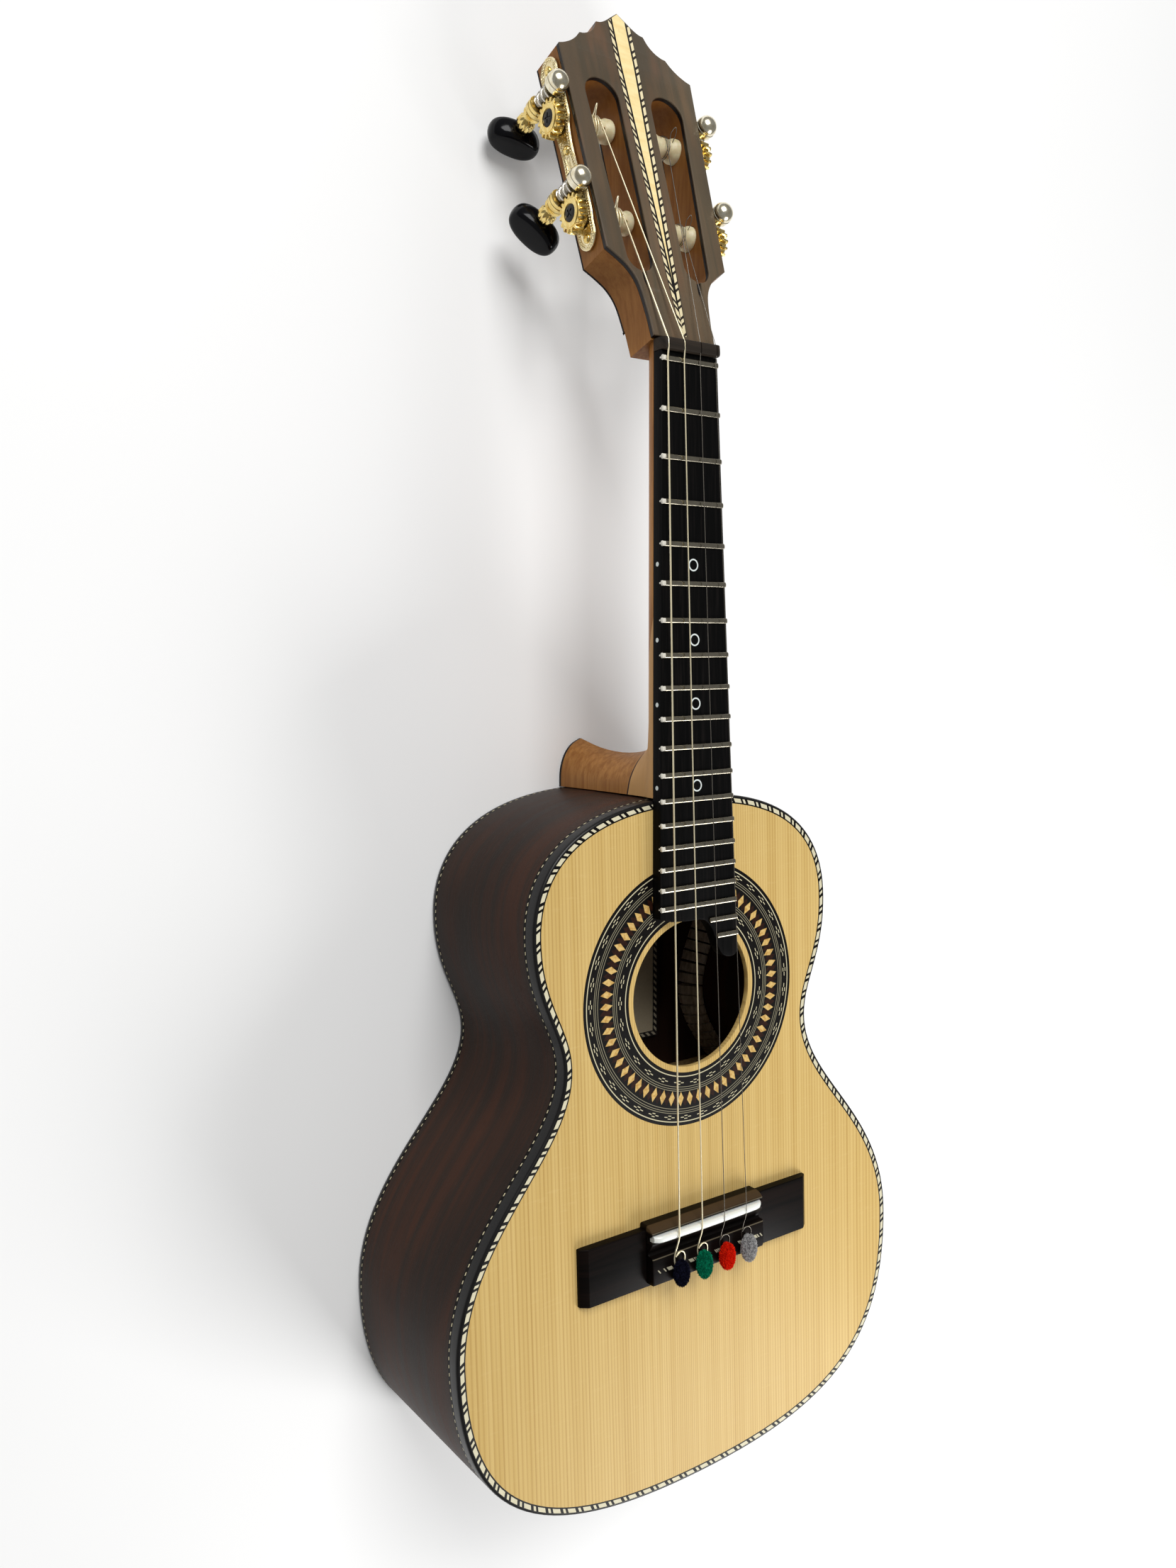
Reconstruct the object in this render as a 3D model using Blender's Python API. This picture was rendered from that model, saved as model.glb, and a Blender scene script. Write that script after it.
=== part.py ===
"""A four-string cavaquinho built as its separate pieces, lying on its flat back.

Sizes are in millimetres and degrees, and the makers below turn them into Blender's metres.
Body and neck are drawn in the maker's frame: y = 0 at the saddle line, y = SCALE at the
zero fret, x to the right, z = 0 on top of the soundboard. The rest frame then tips all of
it by the taper of the body's depth, so that the flat back lies level on the ground.
"""
import math

import bmesh
import bpy
from mathutils import Matrix, Vector

MM = 0.001
GAP = 0.3

# Scale and strings, numbered from the thinnest, with their place on nut and saddle
SCALE = 340.0
FULL_FRETS = 17
STRING_DIAMETER = {1: 0.28, 2: 0.33, 3: 0.58, 4: 0.71}
STRING_PLACE = {1: 1.5, 2: 0.5, 3: -0.5, 4: -1.5}
NUT_SPACING = 8.0
SADDLE_SPACING = 12.0
NUT_STRING_Z = 6.7

# Outline of the body, from the tail round the right side to the neck
TAIL_Y = -114.6
LOWER_BOUT = (113.7, -31.7)
WAIST = (63.4, 70.2)
UPPER_BOUT = (75.9, 121.3)
NECK_Y = 171.05
EDGE_STEPS = (9, 9, 5, 8)

# Depth of the body at the saddle line, and how much of it each millimetre toward the neck takes
DEPTH = 84.0
TAPER = 0.037

TOP_THICK = 2.5
BACK_THICK = 3.0
RIB_THICK = 2.0
TOP_BINDING_HIGH = 5.5
BACK_BINDING_HIGH = 2.6
BLOCK_HALF = 30.0
TAIL_BLOCK_DEEP = 14.0
NECK_BLOCK_DEEP = 24.0
LINING_INSET = (2.6, 8.0)
LINING_HIGH = 12.0
KERF_PITCH = 11.0
KERF_WIDE = 1.2
KERF_LEFT = 1.2
BRACE_WIDE = 7.0
TOP_BRACE_HIGH = 11.0
BACK_BRACE_HIGH = 9.0
TOP_BRACES = {"top_brace_upper": 132.0, "top_brace_lower": 50.0}
BACK_BRACES = {"back_brace_upper": 118.0, "back_brace_middle": 28.0, "back_brace_lower": -58.0}
STRIP_HALF = 7.0
STRIP_HIGH = 2.0

HOLE_CENTRE_Y = 90.4
HOLE_RADIUS = 30.2
ROSETTE_RADII = (32.6, 54.2)
ROSETTE_THICK = 0.9

# Neck, fretboard and nut
NUT_HALF = 14.0
TWELFTH_HALF = 18.6
BOARD_TOP = 5.0
FRET_HIGH = 0.9
FRET_WIDE = 2.2
NUT_SPAN = (343.2, 347.8)
NUT_TOP = 8.0
SHAFT_DEEP = (13.6, 16.0)
HEEL_CAP_THICK = 3.0
HEEL_LONG = 21.0

# Head, drawn in its own frame: s along the head from HEAD_Y, h out of its front
HEAD_Y = 345.0
HEAD_Z = 3.3
HEAD_TILT = 16.0
HEAD_START = 3.2
PLATE_THICK = 2.2
CORE_THICK = 13.2
VENEER_THICK = 1.0
HEAD_HALF = [(15.2, 3.2), (15.7, 14.0), (17.2, 24.8), (20.2, 31.0), (24.5, 35.0), (29.6, 38.5),
             (33.0, 125.0), (26.4, 126.8), (22.6, 129.4), (21.0, 133.0), (16.6, 134.0),
             (13.0, 136.8), (11.3, 141.0), (7.4, 142.4), (3.4, 145.2), (0.0, 148.5)]
RAMP_RADIUS = 1.15
RAMP_LONG = 46.0
SLOT_ENDS = ((14.2, 37.5, 6.4), (16.3, 106.0, 8.2))
STRIPE_HALF = [(1.5, 5.5), (2.65, 30.0), (5.8, 124.0), (5.8, 142.6), (3.0, 145.2), (0.0, 148.3)]

# Machine heads: a plate on each side of the head, t along the plate, n out of it
MACHINE_X = 31.35
MACHINE_S = 83.0
MACHINE_LEAN = 2.25
MIDDLE_H = -8.7
PLATE = (0.3, 1.3)
PLATE_SHAPE = [(-41.0, 0.6), (-40.0, 2.6), (-36.0, 4.3), (-31.0, 5.0), (-26.0, 6.2), (-17.0, 6.4),
               (-11.0, 4.8), (-1.0, 3.9), (9.0, 4.8), (14.5, 6.2), (23.5, 6.4), (29.0, 5.4),
               (34.0, 4.9), (38.5, 3.6), (41.0, 0.6)]
SCREW_T = (35.5, 1.2, -36.4)
GEAR_T = {"upper": 14.0, "lower": -26.4}
GEAR_TEETH = 16
GEAR_RADIUS = 6.8
GEAR_SPAN = (3.2, 6.8)
WORM_OFFSET = 9.8
WORM_N = 5.0
WORM_PITCH = 2 * math.pi * GEAR_RADIUS / GEAR_TEETH
WORM_RADII = (1.95, 3.35)
WORM_TURNS = 3
WORM_HALF_LONG = 5.0
JOURNAL = 1.6
BEARING_RADIUS = 4.2
BUTTON_SEMI = (11.3, 4.9, 6.6)
BUTTON_H = -34.6
BUTTON_TURN = {1: 35.0, 2: 140.0, 3: 166.0, 4: 137.0}
ROLLER_RADIUS = 5.0
ROLLER_WAIST = 4.1
WINDING_START = -15.2
WINDING_TURNS = 2
TUNER_OF_STRING = {1: (1, "lower"), 2: (1, "upper"), 3: (-1, "upper"), 4: (-1, "lower")}

# Bridge
BRIDGE_HALF = 60.3
BRIDGE_SPAN = (-23.5, -0.1)
WING_HIGH = 3.8
BLOCK_X = 29.5
SADDLE_TOP = 10.5
TIE_TOP = 8.3
LOOP_RADIUS = 2.2
TUFT_SEMI = (3.3, 4.6, 3.0)


def clear_scene():
    for thing in list(bpy.data.objects):
        bpy.data.objects.remove(thing, do_unlink=True)


def finish(name, colour, roughness, metallic=0.0):
    """A plain surface for one kind of material."""
    surface = bpy.data.materials.new(name)
    surface.use_nodes = True
    shader = surface.node_tree.nodes["Principled BSDF"]
    shader.inputs["Base Color"].default_value = (*colour, 1.0)
    shader.inputs["Roughness"].default_value = roughness
    shader.inputs["Metallic"].default_value = metallic
    return surface


def make_finishes():
    return {
        "spruce": finish("spruce", (0.72, 0.50, 0.23), 0.5),
        "rosewood": finish("rosewood", (0.06, 0.03, 0.02), 0.4),
        "cedar": finish("cedar", (0.36, 0.17, 0.07), 0.5),
        "ebony": finish("ebony", (0.01, 0.01, 0.01), 0.35),
        "head_rosewood": finish("head_rosewood", (0.13, 0.09, 0.06), 0.45),
        "maple": finish("maple", (0.75, 0.55, 0.28), 0.4),
        "marquetry": finish("marquetry", (0.12, 0.08, 0.04), 0.4),
        "bone": finish("bone", (0.85, 0.82, 0.72), 0.35),
        "gold": finish("gold", (0.80, 0.58, 0.24), 0.25, 1.0),
        "steel": finish("steel", (0.62, 0.60, 0.56), 0.3, 1.0),
        "black_plastic": finish("black_plastic", (0.01, 0.01, 0.012), 0.15),
        "nylon": finish("nylon", (0.72, 0.66, 0.50), 0.5),
        "string_wire": finish("string_wire", (0.70, 0.66, 0.58), 0.3, 1.0),
        "navy_wool": finish("navy_wool", (0.01, 0.012, 0.03), 0.95),
        "green_wool": finish("green_wool", (0.0, 0.12, 0.07), 0.95),
        "red_wool": finish("red_wool", (0.60, 0.02, 0.0), 0.95),
        "grey_wool": finish("grey_wool", (0.28, 0.27, 0.27), 0.95),
    }


def frame_empty(name, parent, place):
    """An empty that carries pieces; place is its matrix under its parent, in millimetres."""
    empty = bpy.data.objects.new(name, None)
    bpy.context.collection.objects.link(empty)
    empty.parent = parent
    local = place.copy()
    local.translation = place.translation * MM
    empty.matrix_basis = local
    return empty


def add_piece(name, shape, frame, surface, smooth=None):
    """Makes one object from points in millimetres, its faces turned outward."""
    points, faces = shape
    mesh = bpy.data.meshes.new(name)
    mesh.from_pydata([Vector(p) * MM for p in points], [], faces)
    work = bmesh.new()
    work.from_mesh(mesh)
    bmesh.ops.remove_doubles(work, verts=work.verts, dist=0.005 * MM)
    bmesh.ops.recalc_face_normals(work, faces=work.faces)
    work.to_mesh(mesh)
    work.free()
    if smooth:
        mesh.shade_smooth()
        mesh.set_sharp_from_angle(angle=math.radians(smooth))
    mesh.materials.append(surface)
    piece = bpy.data.objects.new(name, mesh)
    bpy.context.collection.objects.link(piece)
    piece.parent = frame
    return piece


def add_tube(name, points, diameter, frame, surface, resolution):
    """A cord of round section through a list of points in millimetres."""
    data = bpy.data.curves.new(name, "CURVE")
    data.dimensions = "3D"
    spline = data.splines.new("POLY")
    spline.points.add(len(points) - 1)
    for slot, point in zip(spline.points, points):
        slot.co = (*(Vector(point) * MM), 1.0)
    data.bevel_depth = diameter / 2 * MM
    data.bevel_resolution = resolution
    data.use_fill_caps = True
    data.materials.append(surface)
    tube = bpy.data.objects.new(name, data)
    bpy.context.collection.objects.link(tube)
    tube.parent = frame
    return tube


def combine(piece, tool, operation):
    """Adds a Boolean to a piece and hides the tool that it uses."""
    step = piece.modifiers.new(tool.name, "BOOLEAN")
    step.operation = operation
    step.solver = "EXACT"
    step.object = tool
    tool.hide_render = True
    tool.display_type = "WIRE"


def loft(rings):
    """Skins a row of rings of equally many points and caps the first and the last."""
    points = [p for ring in rings for p in ring]
    count = len(rings[0])
    faces = []
    for first in range(0, len(points) - count, count):
        for i in range(count):
            j = (i + 1) % count
            faces.append((first + i, first + j, first + count + j, first + count + i))
    faces.append(tuple(range(count)))
    faces.append(tuple(range(len(points) - count, len(points))))
    return points, faces


def hoop(rings):
    """Skins a closed chain of rings, as for a binding that runs right round the body."""
    points = [p for ring in rings for p in ring]
    count = len(rings[0])
    faces = []
    for k in range(len(rings)):
        first, second = k * count, (k + 1) % len(rings) * count
        for i in range(count):
            j = (i + 1) % count
            faces.append((first + i, first + j, second + j, second + i))
    return points, faces


def together(shapes):
    """Lists several shapes as one, for a tool made of separate solids."""
    points, faces = [], []
    for shape_points, shape_faces in shapes:
        faces += [tuple(i + len(points) for i in face) for face in shape_faces]
        points += list(shape_points)
    return points, faces


def moved(shape, place):
    """Moves a shape by a matrix."""
    return [place @ Vector(p) for p in shape[0]], shape[1]


def prism(outline, low, high):
    """An outline in x and y raised between two levels, each a number or a function of y."""
    def level(z, y):
        return z(y) if callable(z) else z
    return loft([[(x, y, level(z, y)) for x, y in outline] for z in (low, high)])


def extrusion_x(profile, low, high):
    """A profile in y and z drawn out along x."""
    return loft([[(x, y, z) for y, z in profile] for x in (low, high)])


def circle(radius, steps, centre=(0.0, 0.0)):
    turns = [2 * math.pi * k / steps for k in range(steps)]
    return [(centre[0] + radius * math.cos(a), centre[1] + radius * math.sin(a)) for a in turns]


def lathe(profile, steps):
    """Turns a profile of radius and height about z; it starts and ends on the axis."""
    return loft([[(x, y, z) for x, y in circle(radius, steps)] for radius, z in profile])


def turned_ring(profile, steps):
    """Turns a closed profile of radius and height about z into a ring with a bore."""
    turns = [2 * math.pi * k / steps for k in range(steps)]
    return hoop([[(r * math.cos(a), r * math.sin(a), z) for r, z in profile] for a in turns])


def mirrored(half):
    """Closes a right half outline, which may end on the middle line, with its mirror image."""
    left = [(-x, y) for x, y in reversed(half) if x > 0.0]
    return half + left


def body_curves():
    """Four Bezier stretches: tail, lower bout to waist, waist to upper bout, shoulder."""
    (wide, wide_y), (waist, waist_y), (upper, upper_y) = LOWER_BOUT, WAIST, UPPER_BOUT
    return [
        [(0.0, TAIL_Y), (0.68 * wide, TAIL_Y), (wide, wide_y - 0.75 * (wide_y - TAIL_Y)), LOWER_BOUT],
        [LOWER_BOUT, (wide, wide_y + 0.48 * (waist_y - wide_y)),
         (waist, waist_y - 0.30 * (waist_y - wide_y)), WAIST],
        [WAIST, (waist, waist_y + 0.30 * (upper_y - waist_y)),
         (upper, upper_y - 0.50 * (upper_y - waist_y)), UPPER_BOUT],
        [UPPER_BOUT, (upper, upper_y + 0.62 * (NECK_Y - upper_y)), (0.68 * upper, NECK_Y), (0.0, NECK_Y)],
    ]


def edge_point(position, inset):
    """A point of the right edge, 0 at the tail and 4 at the neck, moved inward by inset."""
    index = min(int(position), 3)
    t = position - index
    a, b, c, d = [Vector(p) for p in body_curves()[index]]
    point = (1 - t) ** 3 * a + 3 * (1 - t) ** 2 * t * b + 3 * (1 - t) * t * t * c + t ** 3 * d
    slope = (1 - t) ** 2 * (b - a) + 2 * (1 - t) * t * (c - b) + t * t * (d - c)
    outward = Vector((slope.y, -slope.x)).normalized()
    return tuple(point - outward * inset)


def right_edge(inset):
    """Points of the right edge from the tail to the neck."""
    stops = [k + i / n for k, n in enumerate(EDGE_STEPS) for i in range(n)] + [4.0]
    edge = [edge_point(stop, inset) for stop in stops]
    edge[0] = (0.0, edge[0][1])
    edge[-1] = (0.0, edge[-1][1])
    return edge


def whole_edge(inset):
    return mirrored(right_edge(inset)[1:-1] + [right_edge(inset)[-1]]) + [right_edge(inset)[0]]


def half_width(y, inset):
    """Half the body's width at a y, measured inside the given inset."""
    edge = right_edge(inset)
    for (x0, y0), (x1, y1) in zip(edge, edge[1:]):
        if y0 <= y <= y1:
            return x0 + (x1 - x0) * (y - y0) / (y1 - y0)
    return 0.0


def back_z(y):
    """Height of the outer face of the back."""
    return TAPER * y - DEPTH


def above_back(rise):
    return lambda y: back_z(y) + rise


def make_soundboard(frame, surfaces):
    under = -TOP_THICK
    board = add_piece("soundboard", prism(whole_edge(RIB_THICK + GAP), under, 0.0), frame,
                      surfaces["spruce"])
    hole = prism(circle(HOLE_RADIUS, 36, (0.0, HOLE_CENTRE_Y)), under - 1, 1.0)
    inner, outer = ROSETTE_RADII
    floor = -ROSETTE_THICK - GAP
    channel = turned_ring([(inner - GAP, floor), (outer + GAP, floor), (outer + GAP, 1.0),
                           (inner - GAP, 1.0)], 36)
    channel = moved(channel, Matrix.Translation((0.0, HOLE_CENTRE_Y, 0.0)))
    combine(board, add_piece("soundboard_cuts", together([hole, channel]), frame,
                             surfaces["spruce"]), "DIFFERENCE")
    ring = turned_ring([(inner, -ROSETTE_THICK), (outer, -ROSETTE_THICK), (outer, 0.0), (inner, 0.0)], 36)
    add_piece("rosette", moved(ring, Matrix.Translation((0.0, HOLE_CENTRE_Y, 0.0))), frame,
              surfaces["marquetry"])


def make_ribs(frame, surfaces):
    """The two bent sides, parted at the tail and under the heel."""
    top = -TOP_BINDING_HIGH - GAP
    for name, side in (("rib_right", 1), ("rib_left", -1)):
        rings = []
        for outer, inner in zip(right_edge(0.0), right_edge(RIB_THICK)):
            corners = []
            for x, y in (outer, inner):
                x = side * max(x, GAP / 2)
                corners.append([(x, y, top), (x, y, back_z(y) + BACK_BINDING_HIGH + GAP)])
            rings.append(corners[0] + corners[1][::-1])
        add_piece(name, loft(rings), frame, surfaces["rosewood"], 40)


def make_back(frame, surfaces):
    add_piece("back_plate", prism(whole_edge(RIB_THICK + GAP), back_z, above_back(BACK_THICK)), frame,
              surfaces["rosewood"])


def make_bindings(frame, surfaces):
    """Black strips let into both corners of the body, their outer edge eased."""
    outer, eased, inner = whole_edge(0.0), whole_edge(0.9), whole_edge(RIB_THICK)
    top, back = [], []
    for (xo, yo), (xe, ye), (xi, yi) in zip(outer, eased, inner):
        top.append([(xo, yo, -TOP_BINDING_HIGH), (xo, yo, -0.9), (xe, ye, 0.0), (xi, yi, 0.0),
                    (xi, yi, -TOP_BINDING_HIGH)])
        back.append([(xo, yo, back_z(yo) + BACK_BINDING_HIGH), (xo, yo, back_z(yo) + 0.9),
                     (xe, ye, back_z(ye)), (xi, yi, back_z(yi)),
                     (xi, yi, back_z(yi) + BACK_BINDING_HIGH)])
    add_piece("top_binding", hoop(top), frame, surfaces["ebony"], 50)
    add_piece("back_binding", hoop(back), frame, surfaces["ebony"], 50)


def make_blocks(frame, surfaces):
    """Tail and neck blocks, curved to the ribs and flat inside the box."""
    inset = RIB_THICK + GAP
    low, high = above_back(BACK_THICK + GAP), -TOP_THICK - GAP
    edge = right_edge(inset)
    for name, deep, stops in (("tail_block", TAIL_BLOCK_DEEP, edge),
                              ("neck_block", -NECK_BLOCK_DEEP, edge[::-1])):
        right = [stops[0]]
        for (x0, y0), (x1, y1) in zip(stops, stops[1:]):
            if x1 >= BLOCK_HALF:
                right.append((BLOCK_HALF, y0 + (y1 - y0) * (BLOCK_HALF - x0) / (x1 - x0)))
                break
            right.append((x1, y1))
        inner_y = stops[0][1] + deep
        outline = mirrored([(BLOCK_HALF, inner_y)] + right[::-1])
        add_piece(name, prism(outline, low, high), frame, surfaces["cedar"])


def lining_stops(kerfed):
    """Places along the right edge between the blocks, one or two for each kerf."""
    fine = [4.0 * k / 800 for k in range(801)]
    route = [edge_point(stop, LINING_INSET[1]) for stop in fine]
    inside = [(stop, p) for stop, p in zip(fine, route) if p[0] > BLOCK_HALF + 2 * GAP]
    lengths = [0.0]
    for (_, p), (_, q) in zip(inside, inside[1:]):
        lengths.append(lengths[-1] + math.dist(p, q))
    count = round(lengths[-1] / KERF_PITCH)
    wanted = []
    for k in range(count):
        start = lengths[-1] * k / count
        wanted.append((start, False))
        if kerfed and k < count - 1:
            wanted.append((start + KERF_PITCH - KERF_WIDE, True))
    wanted.append((lengths[-1], False))
    places = []
    for length, opens in wanted:
        index = min(range(len(lengths)), key=lambda i: abs(lengths[i] - length))
        places.append((inside[index][0], opens))
    return places


def make_linings(frame, surfaces):
    """Three-cornered strips that widen the glue joint; those of the back are kerfed."""
    near, far = LINING_INSET
    for name, side, kerfed in (("top_lining_right", 1, False), ("top_lining_left", -1, False),
                               ("back_lining_right", 1, True), ("back_lining_left", -1, True)):
        base = above_back(BACK_THICK + GAP) if kerfed else lambda y: -TOP_THICK - GAP
        rise = LINING_HIGH if kerfed else -LINING_HIGH
        rings = []
        places = lining_stops(kerfed)
        for index, (stop, opens) in enumerate(places):
            def ring(reach):
                x, y = edge_point(stop, near)
                xi, yi = edge_point(stop, near + reach)
                return [(side * x, y, base(y)), (side * xi, yi, base(yi)), (side * x, y, base(y) + rise)]
            whole, thin = ring(far - near), ring(KERF_LEFT)
            closes = kerfed and index > 0 and places[index - 1][1]
            if opens:
                rings += [whole, thin]
            elif closes:
                rings += [thin, whole]
            else:
                rings.append(whole)
        add_piece(name, loft(rings), frame, surfaces["cedar"])


def brace_profile(half, high, notch):
    """The side view of a transverse brace: low at its ends, with a notch for the strip."""
    ends = [(half, 0.0), (half, 0.3 * high), (half - 18.0, 0.85 * high), (half - 30.0, high)]
    left = [(-x, z) for x, z in reversed(ends)]
    foot = [(-STRIP_HALF - GAP, 0.0), (-STRIP_HALF - GAP, notch), (STRIP_HALF + GAP, notch),
            (STRIP_HALF + GAP, 0.0)]
    return ends + left + (foot if notch else [])


def make_braces(frame, surfaces):
    reach = LINING_INSET[1] + 2 * GAP
    for name, y in TOP_BRACES.items():
        ends = (y - BRACE_WIDE / 2, y + BRACE_WIDE / 2)
        half = min(half_width(end, reach) for end in ends)
        profile = brace_profile(half, TOP_BRACE_HIGH, 0.0)
        rings = [[(x, end, -TOP_THICK - GAP - z) for x, z in profile] for end in ends]
        add_piece(name, loft(rings), frame, surfaces["spruce"])
    for name, y in BACK_BRACES.items():
        ends = (y - BRACE_WIDE / 2, y + BRACE_WIDE / 2)
        half = min(half_width(end, reach) for end in ends)
        profile = brace_profile(half, BACK_BRACE_HIGH, STRIP_HIGH + GAP)
        rings = [[(x, end, back_z(end) + BACK_THICK + GAP + z) for x, z in profile] for end in ends]
        add_piece(name, loft(rings), frame, surfaces["spruce"])
    patch = [(-56.0, -24.0), (56.0, -24.0), (50.0, 3.0), (-50.0, 3.0)]
    add_piece("bridge_patch", prism(patch, -TOP_THICK - GAP - 1.8, -TOP_THICK - GAP), frame,
              surfaces["spruce"])
    inset = RIB_THICK + GAP
    south = TAIL_Y + inset + TAIL_BLOCK_DEEP + GAP
    north = NECK_Y - inset - NECK_BLOCK_DEEP - GAP
    strip = [(-STRIP_HALF, south), (STRIP_HALF, south), (STRIP_HALF, north), (-STRIP_HALF, north)]
    add_piece("back_centre_strip", prism(strip, above_back(BACK_THICK + GAP),
                                         above_back(BACK_THICK + GAP + STRIP_HIGH)), frame,
              surfaces["spruce"])


def make_bridge(frame, surfaces):
    """Flat wings with bevelled ends, and a raised block: lip, saddle slot, trough, tie block."""
    south, north = BRIDGE_SPAN
    side_view = [(BRIDGE_HALF, GAP), (BRIDGE_HALF, 1.6), (BRIDGE_HALF - 3.0, WING_HIGH)]
    wing = side_view + [(-x, z) for x, z in reversed(side_view)]
    bridge = add_piece("bridge", loft([[(x, y, z) for x, z in wing] for y in (south, north)]), frame,
                       surfaces["rosewood"], 30)
    block = [(2.0, GAP), (2.0, 3.6), (1.7, 5.2), (0.9, 6.7), (-0.2, 7.7), (-1.4, 8.2), (-1.4, 5.0),
             (-4.6, 5.0), (-4.6, 7.9), (-6.4, 7.4), (-8.0, 5.6), (-9.2, 5.2), (-10.2, 5.6),
             (-10.6, TIE_TOP), (-20.6, TIE_TOP), (-21.8, 7.3), (-22.0, GAP)]
    combine(bridge, add_piece("bridge_block", extrusion_x(block, -BLOCK_X, BLOCK_X), frame,
                              surfaces["rosewood"]), "UNION")
    rings = []
    for x, top in ((-28.0, 8.9), (-26.4, 9.9), (0.0, SADDLE_TOP), (26.4, 9.9), (28.0, 8.9)):
        profile = [(-4.3, 5.3), (-4.3, top - 0.9), (-3.6, top), (-2.4, top), (-1.7, top - 0.9), (-1.7, 5.3)]
        rings.append([(x, y, z) for y, z in profile])
    add_piece("saddle", loft(rings), frame, surfaces["bone"], 50)


def board_half(y):
    """Half the width of the fretboard at a y."""
    return NUT_HALF + (TWELFTH_HALF - NUT_HALF) * (SCALE - y) / (SCALE / 2)


def fret_bar(y, left, right):
    """One fret with a crowned top, sunk a little into the board."""
    half = FRET_WIDE / 2
    profile = [(y - half, BOARD_TOP - 0.8), (y - half, BOARD_TOP + 0.45), (y - 0.45, BOARD_TOP + FRET_HIGH),
               (y + 0.45, BOARD_TOP + FRET_HIGH), (y + half, BOARD_TOP + 0.45), (y + half, BOARD_TOP - 0.8)]
    return extrusion_x(profile, left, right)


def make_fretboard(frame, surfaces):
    """The tapered board, scooped round the sound hole, with a tongue for the last two frets."""
    north = NUT_SPAN[0] - GAP
    scoop = [(-19.9, 123.6), (-14.0, 121.8), (-6.0, 121.3), (1.0, 121.2), (4.1, 119.7), (6.6, 116.6),
             (8.2, 113.0), (9.8, 108.6), (12.0, 105.4), (15.0, 104.0), (18.4, 104.2), (20.3, 106.0)]
    outline = [(-board_half(north), north)] + scoop + [(board_half(north), north)]
    board = add_piece("fretboard", prism(outline, GAP, BOARD_TOP), frame, surfaces["ebony"], 30)
    bars = []
    for number in range(FULL_FRETS + 1):
        y = SCALE * 2 ** (-number / 12)
        half = board_half(y) - 0.15
        bars.append(fret_bar(y, -half, half))
    for number, left in ((18, 5.2), (19, 9.0)):
        y = SCALE * 2 ** (-number / 12)
        bars.append(fret_bar(y, left, board_half(y) - 0.15))
    combine(board, add_piece("frets", together(bars), frame, surfaces["steel"]), "UNION")


def make_nut(frame, surfaces):
    """A dark nut with eased ends and a slot for each string."""
    south, north = NUT_SPAN
    profile = [(south, GAP), (north, GAP), (north, NUT_TOP - 1.2), (north - 0.9, NUT_TOP),
               (south + 1.2, NUT_TOP), (south, NUT_TOP - 1.4)]
    rings = []
    for x, shrink in ((-14.7, 0.8), (-14.0, 0.0), (14.0, 0.0), (14.7, 0.8)):
        rings.append([(x, y, z - (shrink if z > NUT_TOP - 2 else 0.0)) for y, z in profile])
    nut = add_piece("nut", loft(rings), frame, surfaces["ebony"], 50)
    slots = []
    for number, place in STRING_PLACE.items():
        half = STRING_DIAMETER[number] / 2 + GAP
        x = NUT_SPACING * place
        box = [(x - half, south - 1), (x + half, south - 1), (x + half, north + 1), (x - half, north + 1)]
        slots.append(prism(box, NUT_STRING_Z - half, NUT_TOP + 1))
    combine(nut, add_piece("nut_slots", together(slots), frame, surfaces["ebony"]), "DIFFERENCE")


def shaft_ring(y, deep):
    """Flat top, rounded underside."""
    half = board_half(y)
    turns = [math.pi * k / 8 for k in range(9)]
    ring = []
    for a in turns:
        c, s = math.cos(a), max(math.sin(a), 0.0)
        ring.append((half * math.copysign(abs(c) ** 0.8, c), y, -deep * s ** 0.85))
    return ring


def heel_ring(rise, low, high):
    """A pointed arch seen from behind; rise is 0 at the heel cap and 1 inside the neck."""
    start = NECK_Y + GAP
    long = HEEL_LONG + 24.0 * rise ** 4
    half = 11.0 + 6.3 * rise ** 1.5
    arch = [(1.0, 0.0), (0.97, 0.35), (0.78, 0.66), (0.44, 0.88), (0.0, 1.0)]
    outline = [(half * across, start + long * along) for across, along in arch]
    outline = mirrored(outline)
    return [(x, y, low(y) + (high - low(y)) * rise) for x, y in outline]


def slot_outline(side, wider=0.0):
    """One string slot of the head: two round ends joined by straight walls."""
    (x0, s0, r0), (x1, s1, r1) = SLOT_ENDS
    steps = 6
    low = [math.pi + math.pi * k / steps for k in range(steps + 1)]
    points = [(x0 + (r0 + wider) * math.cos(a), s0 + (r0 + wider) * math.sin(a)) for a in low]
    high = [math.pi * k / steps for k in range(steps + 1)]
    points += [(x1 + (r1 + wider) * math.cos(a), s1 + (r1 + wider) * math.sin(a)) for a in high]
    return [(side * x, s) for x, s in points]


def head_place():
    return Matrix.Translation((0.0, HEAD_Y, HEAD_Z)) @ Matrix.Rotation(-math.radians(HEAD_TILT), 4, "X")


def machine_place(side):
    """Origin on the side of the head, x square to it and y along it."""
    return (Matrix.Translation((side * MACHINE_X, MACHINE_S, 0.0))
            @ Matrix.Rotation(-side * math.radians(MACHINE_LEAN), 4, "Z"))


def roller_place(side, row):
    """z points out of the head along the roller, x along the head toward its tip."""
    turn = Matrix(((0, 0, side, 0), (1, 0, 0, 0), (0, side, 0, 0), (0, 0, 0, 1)))
    return Matrix.Translation((0.0, GEAR_T[row], MIDDLE_H)) @ turn


def worm_place(side, row):
    """z points out of the front of the head, along the worm shaft."""
    return Matrix.Translation((side * WORM_N, GEAR_T[row] + WORM_OFFSET, 0.0))


def winding_radius(number):
    return ROLLER_WAIST + GAP + 0.06 + STRING_DIAMETER[number] / 2


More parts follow.
